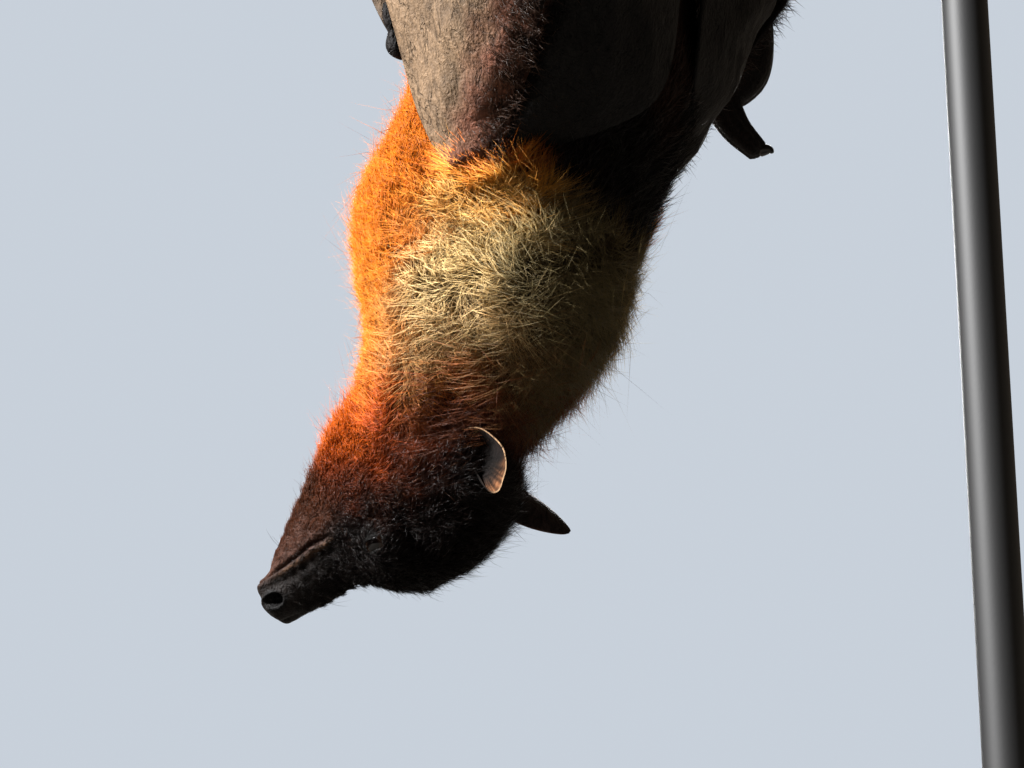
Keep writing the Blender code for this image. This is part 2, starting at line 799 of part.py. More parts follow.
def main():
    trunk, neck = make_trunk(), make_neck()
    head, jaw, ears = make_head()
    keep_clear(neck, head, jaw)
    perch = make_perch()
    make_stand(perch)
    for side in SIDE_SIGN:
        upper, fore = make_arm(side, trunk, neck)
        hand = make_hand(side, fore)
        make_thumb(side, fore, hand)
        tip = make_tip(side, hand, fore)
        thigh, shank = make_leg(side, trunk)
        make_foot(side, perch, shank)
        make_membranes(side, (trunk, neck, upper, fore, hand, tip, thigh, shank))


main()
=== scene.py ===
"""A flying fox hanging from a cut branch on a display stand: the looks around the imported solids."""
# %% [markdown]
# # A flying fox on a display stand
# A flying fox is a large fruit bat. It hangs head down from a branch, and on this one the wings are
# half open and the head is turned aside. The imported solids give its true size. This lesson dresses
# them: first one skin and the eyes, then some 150,000 thin tufts of fur, and last the branch, the
# claws and the stand.

# %% Load the solids and note their box
import math

import bpy
import numpy as np
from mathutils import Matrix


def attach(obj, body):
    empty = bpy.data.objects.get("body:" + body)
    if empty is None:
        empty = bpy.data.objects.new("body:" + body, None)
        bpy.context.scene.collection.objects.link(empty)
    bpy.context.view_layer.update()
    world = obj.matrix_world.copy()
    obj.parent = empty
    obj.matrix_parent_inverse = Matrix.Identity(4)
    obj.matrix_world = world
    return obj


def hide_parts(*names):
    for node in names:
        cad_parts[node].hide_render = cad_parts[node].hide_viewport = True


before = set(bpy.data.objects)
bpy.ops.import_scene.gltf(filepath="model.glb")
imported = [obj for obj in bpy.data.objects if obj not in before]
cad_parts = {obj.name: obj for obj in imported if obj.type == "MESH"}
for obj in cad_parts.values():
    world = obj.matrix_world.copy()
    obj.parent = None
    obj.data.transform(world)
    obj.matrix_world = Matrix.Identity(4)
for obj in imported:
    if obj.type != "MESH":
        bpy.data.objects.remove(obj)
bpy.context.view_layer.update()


# %% [markdown]
# ## Places
# The bat was measured in millimetres from the point midway between its shoulders. The head has axes
# of its own, because it is turned: forward along the muzzle, toward its left ear, and up through the
# crown. Two small functions turn such places into metres in the frame of the solids.

# %% Frames of the body and the head
MM = 0.001
SHOULDERS = np.array((0.0, -0.045, 0.290))
HEAD_ORIGIN = np.array((4.0, -12.0, -84.0))
SIDE_SIGN = {"right": 1, "left": -1}


def unit(vectors):
    """Each vector divided by its own length."""
    return vectors / np.maximum(np.linalg.norm(vectors, axis=-1, keepdims=True), 1e-9)


HEAD_FORWARD = unit(np.array((0.266, -0.856, -0.444)))
HEAD_LEFT = np.array((-0.962, -0.261, -0.077))
HEAD_LEFT = unit(HEAD_LEFT - HEAD_FORWARD * (HEAD_LEFT @ HEAD_FORWARD))
HEAD_AXES = np.stack((HEAD_FORWARD, HEAD_LEFT, np.cross(HEAD_FORWARD, HEAD_LEFT)))


def in_head(points):
    """Points forward, left and up in the head, turned to millimetres from the shoulders."""
    return HEAD_ORIGIN + np.asarray(points, float) @ HEAD_AXES


def from_head(points):
    """Millimetres from the shoulders, turned to forward, left and up in the head."""
    return (np.asarray(points, float) - HEAD_ORIGIN) @ HEAD_AXES.T


def mirrored(points, side):
    """Points given for the right side, moved to the named side."""
    return np.asarray(points, float) * (SIDE_SIGN[side], 1, 1)


def mirrored_rows(rows, side):
    """Rows of x, y, z and radius given for the right side, moved to the named side."""
    return [(*mirrored(row[:3], side), row[3]) for row in rows]


def ease(value, low, high):
    """0 below low, 1 above high, and a smooth S-shaped step between them."""
    share = np.clip((value - low) / (high - low), 0, 1)
    return share * share * (3 - 2 * share)


def mix(first, second, share):
    """first where share is 0, second where it is 1, and between them in proportion."""
    return first * (1 - share) + second * share


def mix_rows(first, second, share):
    """mix for points and colours: share has one number for each row of three."""
    return mix(first, second, np.asarray(share, float)[..., None])


def smooth(rows, count):
    """Catmull-Rom curve through rows of numbers, at count even steps of chord length."""
    rows = np.asarray(rows, float)
    steps = np.linalg.norm(np.diff(rows[:, :3], axis=0), axis=1)
    knots = np.concatenate(([0.0], np.cumsum(steps)))
    slopes = np.gradient(rows, knots, axis=0)
    places = np.linspace(0.0, knots[-1], count)
    span = np.clip(np.searchsorted(knots, places, side="right") - 1, 0, len(rows) - 2)
    width = (knots[span + 1] - knots[span])[:, None]
    t = (places - knots[span])[:, None] / width
    return (
        (2 * t**3 - 3 * t**2 + 1) * rows[span]
        + (t**3 - 2 * t**2 + t) * width * slopes[span]
        + (3 * t**2 - 2 * t**3) * rows[span + 1]
        + (t**3 - t**2) * width * slopes[span + 1]
    )


def waves(points, size, seed, count=18):
    """Smooth noise: plane sine waves of about one length, size, in random directions, added up.

    Their lengths spread from size / 1.4 to size / 0.7. Returns the values, mostly between -2 and 2,
    and their slope along x, y and z.
    """
    rng = np.random.default_rng(seed)
    rates = 2 * math.pi / (size * rng.uniform(0.7, 1.4, count))
    ways = unit(rng.normal(size=(count, 3))) * rates[:, None]
    turns = points @ ways.T + rng.uniform(0, 2 * math.pi, count)
    scale = math.sqrt(2 / count)
    return np.sin(turns).sum(-1) * scale, np.cos(turns) @ ways * scale


print("head axes", HEAD_AXES.round(3).tolist())

# %% [markdown]
# ## Colours and meshes
# Colours are written as sRGB hex values, as a paint chart gives them, and one function turns them to
# the linear numbers that Blender works in. Every mesh is filled from whole arrays.


# %% Helpers for colours, nodes and meshes
def linear(code):
    """An sRGB hex colour as linear red, green and blue."""
    value = np.array([int(code[i : i + 2], 16) for i in (1, 3, 5)]) / 255
    return np.where(value <= 0.04045, value / 12.92, ((value + 0.055) / 1.055) ** 2.4)


def blend_tones(places, stops):
    """Colours along a scale: stops are (place, hex), and each place lies between two of them."""
    marks = [mark for mark, _ in stops]
    tones = np.array([linear(code) for _, code in stops])
    return np.stack([np.interp(places, marks, tones[:, i]) for i in range(3)], axis=-1)


def new_material(name):
    """A material with its Principled shader: returns material, node tree and shader."""
    material = bpy.data.materials.new(name)
    material.use_nodes = True
    tree = material.node_tree
    return material, tree, tree.nodes["Principled BSDF"]


def add_node(tree, kind, settings=(), values=(), links=()):
    """Adds a node: settings are its own fields, values fill sockets, links join other outputs."""
    node = tree.nodes.new(kind)
    for field, value in dict(settings).items():
        setattr(node, field, value)
    for socket, value in dict(values).items():
        node.inputs[socket].default_value = value
    for socket, output in dict(links).items():
        tree.links.new(output, node.inputs[socket])
    return node


def make_piece(name, points, faces, material, tones=None, extra=(), corner_uv=None):
    """One object from points in millimetres and arrays of faces, smooth shaded.

    faces is a list of arrays, each with as many columns as its faces have corners.
    """
    mesh = bpy.data.meshes.new(name)
    metres = SHOULDERS + MM * np.asarray(points, float)
    mesh.vertices.add(len(metres))
    mesh.vertices.foreach_set("co", metres.astype(np.float32).ravel())
    corners = np.concatenate([group.ravel() for group in faces]).astype(np.int32)
    sizes = np.concatenate([np.full(len(group), group.shape[1]) for group in faces])
    starts = np.concatenate(([0], np.cumsum(sizes)[:-1])).astype(np.int32)
    mesh.loops.add(len(corners))
    mesh.loops.foreach_set("vertex_index", corners)
    mesh.polygons.add(len(sizes))
    mesh.polygons.foreach_set("loop_start", starts)
    mesh.update(calc_edges=True)
    mesh.shade_smooth()
    if tones is not None:
        layer = mesh.attributes.new("tone", "FLOAT_COLOR", "POINT")
        rgba = np.concatenate((tones, np.ones((len(tones), 1))), axis=1)
        layer.data.foreach_set("color", rgba.astype(np.float32).ravel())
    for label, values in dict(extra).items():
        layer = mesh.attributes.new(label, "FLOAT", "POINT")
        layer.data.foreach_set("value", np.asarray(values, np.float32))
    if corner_uv is not None:
        layer = mesh.uv_layers.new(name="OFBake")
        layer.data.foreach_set("uv", np.asarray(corner_uv, np.float32).ravel())
    mesh.materials.append(material)
    obj = bpy.data.objects.new(name, mesh)
    bpy.context.scene.collection.objects.link(obj)
    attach(obj, "root")
    return obj


def grid_faces(rows, columns, around, start=0):
    """Quads of a grid of points numbered row by row; around joins the last column to the first."""
    row = np.arange(rows - 1)[:, None] * columns
    column = np.arange(columns if around else columns - 1)[None, :]
    beside = (column + 1) % columns
    quads = np.stack(
        (row + column, row + beside, row + columns + beside, row + columns + column), axis=-1
    )
    return quads.reshape(-1, 4) + start


print("a mid orange is", linear("#c8641a").round(3))

# %% [markdown]
# ## The forms of the skin
# Every form is a surface of two parameters. Trunk, neck and head are level or upright rings, limbs
# are rings along a bent path, and wings and ears are sheets between two edges. The skin lies inside
# the solids by the depth of the coat, so each ring is the solid's ring less that depth.

# %% Trunk and neck
# Sections from rump to nape: x, y, z, half width, reach to the belly, reach to the back.
BODY_ROWS = np.array(
    (
        (0, 13, 171, 9, 8, 8),
        (0, 13, 160, 25, 23, 22),
        (0, 14, 140, 35, 32, 30),
        (0, 14, 110, 40, 39, 36),
        (0, 14, 70, 43, 43, 40),
        (0, 14, 45, 44, 44, 41),
        (0, 12.5, 28, 44.5, 45, 42),
        (0, 6.5, 13, 45.5, 48, 43.5),
        (0, 0, 0, 47, 50, 40),
        (0, -9, -16, 45, 42.5, 42.5),
        (1, -10, -24, 43.5, 39.5, 42),
        (3, -11.5, -42, 39, 34, 39.5),
        (4, -18, -57, 33, 31.5, 35),
        (5, -25, -70, 27, 28, 28.5),
        (6, -30, -80, 20, 22, 20),
    ),
    float,
)
# How deep the coat is at each of those sections: at the side, on the belly and on the back.
COAT_ROWS = np.array(
    (
        (2, 2, 2),
        (2.5, 3, 2),
        (2.5, 4, 2.2),
        (2.5, 4.5, 2.3),
        (3, 4.5, 2.5),
        (3, 5, 2.5),
        (3.5, 5.5, 2.5),
        (4.5, 6.5, 2.8),
        (4.2, 5.2, 3.5),
        (4.2, 5, 4.6),
        (4.2, 4.8, 4.8),
        (4.2, 4.8, 5),
        (4.2, 4.8, 5),
        (4.4, 4.6, 5),
        (4.6, 4.4, 5),
    ),
    float,
)
BODY_GRID = (120, 80)  # rings, and points round each


def body_grid():
    """Rings of trunk and neck: an ellipse whose depth differs before and behind its middle.

    Returns the skin's points and, at each of them, the depth of the coat.
    """
    rows = smooth(np.concatenate((BODY_ROWS, COAT_ROWS), axis=1), BODY_GRID[0])
    angles = np.linspace(0, 2 * math.pi, BODY_GRID[1] + 1)
    cosines, sines = np.cos(angles)[None], np.sin(angles)[None]
    before = sines < 0
    reach = np.where(before, rows[:, 4:5], rows[:, 5:6])
    toward = np.where(before, rows[:, 7:8], rows[:, 8:9])
    depth = rows[:, 6:7] * cosines**2 + toward * sines**2
    x, y = cosines * (rows[:, 3:4] - depth), sines * (reach - depth)
    return rows[:, None, :3] + np.stack((x, y, 0 * x), axis=-1), depth


BODY, BODY_COAT = body_grid()
print("trunk and neck", BODY.shape)
print("depth of the coat", BODY_COAT.min().round(1), "to", BODY_COAT.max().round(1), "mm")

# %% [markdown]
# ## The head
# The head gets the most care. Its rings run from the nose to the back of the skull. Then each
# feature moves the points a little along the outward direction: the line of the mouth with a lip
# above and below it, two nostrils that open sideways, the brow, the cheek and the folds behind the
# nose. Round each eye the skin is drawn onto a ball a little larger than the eye, which makes the
# lids, and inside the slit between the lids it dips behind the eyeball.

# %% Rings of the head
# Sections from the nose back: forward, left, up, half height, half width, and the depth of the coat
# above, beside and below.
HEAD_ROWS = np.array(
    (
        (71.2, 0, 0.8, 4.6, 5.4, 0.2, 0.2, 0.2),
        (69.9, 0, 0.3, 7.0, 7.2, 0.2, 0.2, 0.2),
        (67.4, 0, -0.1, 8.2, 7.8, 0.3, 0.3, 0.3),
        (63.8, 0, -1.4, 9.9, 8.4, 0.5, 0.4, 0.5),
        (59.0, 0, -3.2, 12.4, 9.2, 0.8, 0.5, 0.9),
        (52.0, 0, -6.2, 15.6, 10.6, 1.0, 0.7, 1.6),
        (46.0, 0, -8.6, 18.2, 12.0, 1.2, 0.9, 2.6),
        (41.0, 0, -9.4, 21.6, 14.2, 1.5, 1.2, 3.6),
        (36.0, 0, -9.4, 25.6, 16.6, 1.8, 1.4, 4.6),
        (28.0, 0, -10.2, 30.6, 19.4, 2.2, 2.0, 5.6),
        (16.0, 0, -10.6, 33.2, 21.6, 2.8, 3.0, 6.4),
        (5.0, 0, -7.4, 27.4, 20.6, 3.4, 3.6, 6.0),
        (-3.0, 0, -3.6, 17.4, 16.4, 3.6, 3.6, 4.0),
        (-8.5, 0, -2.4, 9.6, 9.6, 3.0, 3.0, 3.0),
    ),
    float,
)
HEAD_GRID = (168, 150)  # rings, and points round each
HEAD_SAMPLES = 400  # along the smooth curve that the rings are taken from


def hump(distance, width):
    """A smooth hump, 1 at distance 0 and nearly 0 at twice the width."""
    return np.exp(-((distance / width) ** 2))


def head_grid():
    """Rings of the head in its own axes: forward, left, up; and the depth of the coat."""
    rows = smooth(HEAD_ROWS, HEAD_SAMPLES)
    samples = np.arange(HEAD_SAMPLES)
    # The rings stand closer together where the nose and the eyes are.
    forward = rows[:, 0]
    crowding = 1 + 1.6 * hump(forward - 67, 6) + 1.2 * hump(forward - 30, 9)
    steps = np.concatenate(([0], np.cumsum(crowding[1:])))
    places = np.interp(np.linspace(0, steps[-1], HEAD_GRID[0]), steps, samples)
    rows = np.stack([np.interp(places, samples, column) for column in rows.T], axis=1)
    # The points of a ring stand closer together at its sides, where the mouth and the eyes are.
    turns = np.linspace(0, 2 * math.pi, HEAD_GRID[1] + 1)
    angles = turns - 0.28 * np.sin(2 * turns)
    cosines, sines = np.cos(angles)[None], np.sin(angles)[None]
    above = sines > 0
    depth = rows[:, 6:7] * cosines**2 + np.where(above, rows[:, 5:6], rows[:, 7:8]) * sines**2
    left = cosines * (rows[:, 4:5] - depth)
    up = rows[:, 2:3] + sines * (rows[:, 3:4] - depth)
    grid = np.stack((rows[:, 0:1] + 0 * left, left, up), axis=-1)
    ahead = 0.25 * ease(grid[..., 0], 62, 71)
    outward = unit(np.stack((ahead, cosines + 0 * left, sines + 0 * left), -1))
    return grid, depth, outward


HEAD, HEAD_COAT, HEAD_OUT = head_grid()
print("head", HEAD.shape)

# %% Mouth, nostrils and lids
EYE_CENTRE = np.array((29.5, 13.6, 8.6))
EYE_RADIUS = 5.6
EYE_GAZE = np.array((0.34, 0.92, 0.16))  # for the left eye
LID_REACH = 7.6  # how far round the gaze the skin is drawn onto the eyeball
MOUTH_CORNER = 44.0  # forward
NOSTRIL = np.array((67.4, 5.6, 3.2))
NOSTRIL_REACH, NOSTRIL_DEPTH = 2.1, 4.2


def eye_axes(sign):
    """An eye's gaze, the way along the slit of its lids, and the way across it; sign 1 is left."""
    gaze = unit(EYE_GAZE * (1, sign, 1))
    along = unit(np.array((0.93, -0.32 * sign, -0.22)))
    along = unit(along - gaze * (along @ gaze))
    return gaze, along, np.cross(gaze, along) * sign


def shape_head(grid, outward):
    """Adds mouth, lips, nostrils, brow, cheeks, folds and lids to the head's rings."""
    forward, left, up = np.moveaxis(grid, -1, 0)
    side = np.abs(left)
    # Mouth: a groove along a nearly level line from the corner to the front, with lips beside it.
    line = -3.2 - (forward - MOUTH_CORNER) * 0.03 - 0.9 * hump(forward - 50, 5)
    below = up - line
    mouth = ease(forward, MOUTH_CORNER - 1.5, MOUTH_CORNER + 3)
    groove, upper_lip, lower_lip = hump(below, 0.5), hump(below - 1.5, 1.0), hump(below + 1.6, 1.2)
    push = mouth * (-1.3 * groove + 0.85 * upper_lip + 0.35 * lower_lip)
    push = push - mouth * 0.55 * hump(below - 4.0, 1.2)
    push = push + 0.7 * hump(forward - 43, 2.2) * hump(below, 2.6) * hump(side - 13, 4)
    # The lower jaw's front lies back from the nose pad.
    push = push - 1.6 * ease(forward, 62, 69) * ease(-below, 0.4, 2.4)
    # Nose pad: a swelling round each nostril, with a furrow between the two.
    pad = hump(forward - 68, 4.5) * ease(up, -2, 1)
    push = push + pad * (0.5 * hump(side - 5.0, 2.8) - 0.9 * hump(side, 1.1))
    # Brow, cheek and temple.
    push = push + 0.9 * hump(forward - 35, 4) * hump(up - 15, 4)
    push = push + 1.2 * hump(forward - 16, 8) * hump(up + 2, 7) * ease(side, 8, 14)
    push = push - 1.0 * hump(forward - 45, 5) * hump(up - 3, 4)
    # Folds of skin that ring the muzzle behind the nose.
    ring = forward + 0.25 * up + 0.8 * waves(grid, 9, 5)[0]
    folds = np.sin(ring * 2 * math.pi / 3.1) * ease(forward, 40, 47) * ease(-forward, -66, -60)
    push = push + 0.16 * folds * ease(up, -2, 2)
    push = push + 0.10 * waves(grid, 2.4, 6)[0] * ease(forward, 30, 45) * ease(-forward, -64, -56)
    grid = grid + outward * push[..., None]
    # Nostrils: a comma-shaped pit that opens sideways and forward.
    for sign in (1, -1):
        centre = NOSTRIL * (1, sign, 1)
        away = grid - centre
        across = np.hypot(away[..., 0] * 0.8 + 0.25 * away[..., 2], away[..., 2] * 1.15)
        round_it = np.hypot(across, away[..., 1] * 0.35)
        own_side = grid[..., 1] * sign > 1.2
        inward = unit(np.array((-0.62, -0.72 * sign, -0.1)))
        sunk = NOSTRIL_DEPTH * ease(-round_it, -NOSTRIL_REACH - 0.5, -NOSTRIL_REACH + 0.9)
        raised = 0.4 * hump(round_it - NOSTRIL_REACH - 0.7, 0.8)
        grid = grid + inward * (own_side * (sunk - raised))[..., None]
        # Eye: the skin round the gaze is wrapped on a ball, and the slit between the lids dips in.
        centre = EYE_CENTRE * (1, sign, 1)
        gaze, along, above = eye_axes(sign)
        away = grid - centre
        a, b = away @ along, away @ above
        reach = np.maximum(np.hypot(a, b), 1e-3)
        angle = reach / LID_REACH * 1.5
        level = along * (a / reach)[..., None] + above * (b / reach)[..., None]
        ray = level * np.sin(angle)[..., None]
        way = ray + gaze * np.cos(angle)[..., None]
        slit = np.hypot((ray @ along) / 0.54, (ray @ above) / 0.25)
        lid = centre + way * (EYE_RADIUS + 0.3 + 0.5 * hump(slit - 1.2, 0.22))[..., None]
        inside = centre + way * (EYE_RADIUS - 1.0)
        drawn = mix_rows(lid, inside, ease(-slit, -1.06, -0.94))
        share = ease(-reach, -LID_REACH - 3.2, -LID_REACH) * (away @ gaze > -8)
        grid = mix_rows(grid, drawn, share)
    return grid


shaped = shape_head(HEAD, HEAD_OUT)
moved = np.linalg.norm(shaped - HEAD, axis=-1)
print("the skin of the head moved by up to", moved.max().round(1), "mm")
HEAD = in_head(shaped)

# %% [markdown]
# ## Limbs
# An arm or leg is a row of rings along a smooth path. The folded fingers are a bundle of thin bones
# with skin drawn between them, so their rings are fluted.

# %% Joints and measures of the limbs
# Places are for the right side, with x mirrored for the left. Rows are x, y, z and radius.
SHOULDER = (34.5, 3, 1)
ELBOW = {"right": (68, 80, 88), "left": (66, 52, 100)}
WRIST = {"right": (54, -72, 172), "left": (48, -112, 162)}
KNUCKLES = {"right": (74, 38, 112), "left": (71, 9, 118)}
HIP, KNEE, ANKLE = (15, 14, 144), (50, 24, 184), (22, 14, 243)
THUMB_ROWS = {
    "right": ((55, -76, 171, 4.6), (56, -86, 160, 4.2), (56, -93, 143, 3.6), (55, -95, 128, 3.0)),
    "left": ((46, -114, 161, 4.6), (36, -122, 153, 4.2), (22, -127, 146, 3.6), (10, -127, 144, 3.0)),
}
TIP_ROWS = {
    "right": (
        (79, 34, 118, 6.0),
        (86, 14, 130, 6.4),
        (84, -14, 146, 5.6),
        (76, -40, 160, 4.2),
        (68, -60, 169, 2.6),
    ),
    "left": (
        (73, 13, 113, 6.0),
        (79, 26, 92, 8.0),
        (80, 29, 72, 10.5),
        (79.5, 28.5, 60, 9.5),
        (77.5, 23.5, 50, 6.3),
        (77, 27, 41, 5.0),
        (79, 34, 31.5, 3.6),
    ),
}
FINGER_KNOB = (
    (53.4, -8.8, 42.4, 1.5), (52.5, -8.9, 39.7, 2.0), (51.6, -9.0, 37.0, 1.9),
    (51.0, -9.1, 35.1, 1.3), (50.4, -9.2, 33.2, 1.9), (49.7, -9.3, 30.8, 2.3),
    (48.5, -8.5, 29.2, 1.9), (47.6, -7.7, 28.1, 1.2),
)
PERCH_AXIS = (-3.0, 275.0)  # y and z
PERCH_RADIUS, PERCH_LENGTH = 12.0, 170.0
TOE_SPACING, TOE_RADIUS = 4.7, 2.05
TOE_DISTANCE = PERCH_RADIUS + TOE_RADIUS + 0.4  # from the perch's axis to the toes'
FOREARM = np.linalg.norm(np.subtract(WRIST["right"], ELBOW["right"]))
print("forearm", FOREARM.round(1), "mm from elbow to wrist")

# %% Tubes along bent paths


def tube(rows, count, sides, inset=0.0, flutes=0, flute_depth=0.0, flat=1.0, across=(1, 0, 0)):
    """Rings of radius r less inset along a smooth path, closed to near points at both ends.

    flutes grooves run along it, and flat widens it across.
    """
    rows = smooth(rows, count)
    path, radii = rows[:, :3], rows[:, 3] - inset
    tangents = unit(np.gradient(path, axis=0))
    across = np.asarray(across, float)
    first = unit(across - tangents * (tangents @ across)[:, None])
    second = np.cross(tangents, first)
    angles = np.linspace(0, 2 * math.pi, sides + 1)
    ridge = 1 + flute_depth * (np.abs(np.sin(flutes / 2 * angles)) - 0.5 if flutes else 0 * angles)
    rings = (
        path[:, None]
        + first[:, None] * (np.cos(angles) * ridge * flat)[None, :, None] * radii[:, None, None]
        + second[:, None] * (np.sin(angles) * ridge)[None, :, None] * radii[:, None, None]
    )
    # Three shrinking rings beyond each end round it off, and the last is nearly a point.
    ends = []
    for end, sign in ((0, -1), (-1, 1)):
        for share, lift in ((0.72, 0.30), (0.35, 0.45), (0.02, 0.5)):
            middle = path[end] + sign * tangents[end] * radii[end] * lift
            ends.append(middle + (rings[end] - path[end]) * share)
    return np.concatenate((np.array(ends[2::-1]), rings, np.array(ends[3:])))


def bone_rows(start, end, steps):
    """Rows of x, y, z and radius between two joints, from pairs of share and radius."""
    start, end = np.asarray(start, float), np.asarray(end, float)
    return [(*(start + (end - start) * share), radius) for share, radius in steps]


def around_perch(x, degrees, distance):
    """A point beside the perch: 0 degrees is behind it, 90 on top and 180 in front."""
    turn = math.radians(degrees)
    return (x, PERCH_AXIS[0] + distance * math.cos(turn), PERCH_AXIS[1] + distance * math.sin(turn))


def toe_end(spread):
    """Degrees round the perch to a toe's end: the middle toe, of spread 0, reaches furthest."""
    return 158 - 6 * abs(spread)


straight = tube(((0, 0, 0, 1), (0, 0, 5, 1), (0, 0, 10, 1)), 10, 12)
print("rings and points of a tube with its ends", straight.shape[:2])

# %% Arms, fingers, legs and feet
LIMBS = {}
for side in SIDE_SIGN:
    joints = SHOULDER, ELBOW[side], WRIST[side], KNUCKLES[side], HIP, KNEE, ANKLE
    shoulder, elbow, wrist, knuckles, hip, knee, ankle = (mirrored(p, side) for p in joints)
    upper = bone_rows(
        shoulder, elbow, ((0.0, 9), (0.16, 11.2), (0.55, 8.2), (0.85, 7.4), (1.0, 7.4))
    )
    fore = bone_rows(elbow, wrist, ((0.0, 7.3), (0.14, 7.9), (0.45, 6.4), (0.85, 4.5), (1.0, 5.1)))
    hand = bone_rows(wrist, knuckles, ((0.0, 4.6), (0.3, 6.4), (0.7, 7.2), (1.0, 6.6)))
    thigh = bone_rows(hip, knee, ((0.0, 15), (0.35, 13), (0.7, 9.5), (1.0, 7.5)))
    shank = bone_rows(knee, ankle, ((0.0, 7.0), (0.3, 6.2), (0.7, 4.6), (1.0, 4.2)))
    LIMBS["upper_arm", side] = tube(upper, 40, 32)
    LIMBS["forearm", side] = tube(fore, 60, 28)
    LIMBS["hand", side] = tube(hand, 48, 32, 0.3, flutes=7, flute_depth=0.22)
    LIMBS["thumb", side] = tube(mirrored_rows(THUMB_ROWS[side], side), 30, 20, 0.3)
    tip = mirrored_rows(TIP_ROWS[side], side)
    LIMBS["wing_tip", side] = tube(tip, 48, 30, 0.3, flutes=6, flute_depth=0.16)
    LIMBS["thigh", side] = tube(thigh, 40, 32, 1.8)
    LIMBS["shank", side] = tube(shank, 40, 24, 0.5)
    ball = around_perch(ankle[0], -12, PERCH_RADIUS + 4.0)
    sole = [
        (*ankle, 2.2),
        (ankle[0], ankle[1] + 1.0, 248, 2.9),
        (ankle[0], ankle[1] + 1.5, 256, 4.2),
        (*ball, 4.2),
    ]
    LIMBS["foot", side] = tube(sole, 24, 40, 0.2, flutes=10, flute_depth=0.15, flat=2.0)
    for number in range(5):
        spread = number - 2
        x = ankle[0] + spread * TOE_SPACING
        toe = [(*around_perch(x - spread * 0.6, -20, TOE_DISTANCE + 1.2), TOE_RADIUS + 0.2)]
        turns = np.linspace(10, toe_end(spread), 5)
        toe += [(*around_perch(x, turn, TOE_DISTANCE), TOE_RADIUS) for turn in turns]
        LIMBS[f"toe_{number + 1}", side] = tube(toe, 34, 14, 0.05)
# The folded tip of a finger shows as two small knobs behind the right wing's leading edge.
LIMBS["finger_knob", "right"] = tube(FINGER_KNOB, 40, 20)
print("limbs", len(LIMBS))

# %% [markdown]
# ## Wings and ears
# A wing membrane is two layers of skin no thicker than paper, laid in fine creases by elastic
# threads. It spans between two edges, and folds fan out from the elbow that it is slung from. The
# left ear is a leaf rolled into a cup. Both are open sheets that are then given two sides and a rim.
# The right ear is seen into, so it is a closed wall that runs out to its rim and back inside.

# %% Edges of wings and ears
WING_HALF_THICKNESS = 0.42  # thicker than real skin, so that it stays solid
FOLD_RATE, FOLD_HEIGHT = 26, 0.5  # a rate that makes about four folds to a radian
LEADING_EDGE = {
    "right": (
        (43.4, 5.6, -7.6), (44.6, 0.4, 2), (46, -3.6, 12), (50, -5.2, 24), (55, -8.2, 43),
        (62, -26, 86), (60, -50, 134),
    ),
    "left": ((34, -6, -2), (37, -32, 26), (35, -58, 58), (32, -74, 80), (36, -95, 122)),
}
NAPE_END = {
    "right": ((32, 22, -2), (20, 38, 4), (9, 50, 14)),
    "left": ((32, 20, 12), (20, 44, 20), (9, 53, 28)),
}
BACK_EDGE = (
    (6, 57, 42),
    (6, 58, 66),
    (8, 55, 100),
    (14, 45, 136),
    (30, 32, 166),
    (49, 28, 188),
    (36, 22, 216),
    (25, 19, 238),
)
# The left ear, in the head's axes.
EAR_ROOT = (-0.8, 15.0, -3.2)
EAR_TIP = (-12.0, 25.0, 16.8)
EAR_FACING = (0.80, 0.58, -0.1)
EAR_HALF_WIDTH, EAR_HALF_THICKNESS = 6.1, 0.42
CUP_ROOT, CUP_ROOT_RADIUS, CUP_BELLY, CUP_HALF_THICKNESS = (-5.0, -13.0, 0.5), 3.6, 1.6, 0.22
# Rim of the right ear, which is turned to show its cup: forward, left and up in the head.
CUP_RIM = (
    (-5.4, -19.0, -6.2), (-8.9, -19.8, -4.9), (-11.4, -20.7, -1.4), (-13.6, -22.2, 5.5),
    (-12.6, -23.5, 11.4), (-10.2, -24.3, 15.1), (-8.2, -24.6, 17.2), (-6.2, -23.6, 16.6),
    (-4.4, -20.8, 13.2), (-3.4, -17.6, 8.2), (-2.8, -16.2, 2.4), (-3.4, -16.6, -2.8),
)
print("points on the rim of the right ear", len(CUP_RIM))


# %% Sheets, folds and the way a sheet lies on a bone
def normals_of(grid):
    """Normals of an open grid: the cross product of its two directions."""
    return unit(np.cross(np.gradient(grid, axis=0), np.gradient(grid, axis=1)))


def sheet(first_edge, second_edge, bulge, along, across):
    """A sheet between two smooth edges whose middle is pushed along bulge by a sine."""
    first, second = smooth(first_edge, along), smooth(second_edge, along)
    share = np.linspace(0, 1, across)[None, :, None]
    ends = np.sin(np.linspace(0.12, 0.94, along) * math.pi)[:, None, None]
    grid = first[:, None] * (1 - share) + second[:, None] * share
    return grid + np.asarray(bulge, float) * np.sin(share * math.pi) * ends


def fan_folds(grid, hub, rate, height):
    """Folds that fan out from a hub: a sine of rate times the direction, higher further away."""
    middle = grid.reshape(-1, 3).mean(0) - hub
    normal = unit(normals_of(grid).reshape(-1, 3).mean(0))
    first = unit(middle - normal * (middle @ normal))
    away = grid - hub
    direction = np.arctan2(away @ np.cross(normal, first), away @ first)
    wander = 0.5 * waves(grid, 40, 31)[0]
    return height * np.sin(direction * rate + wander) * ease(np.linalg.norm(away, axis=-1), 4, 40)


def two_sided(grid, half_thickness):
    """The points of a sheet's two sides, half a thickness off it."""
    normal = normals_of(grid)
    return np.stack((grid + normal * half_thickness, grid - normal * half_thickness))


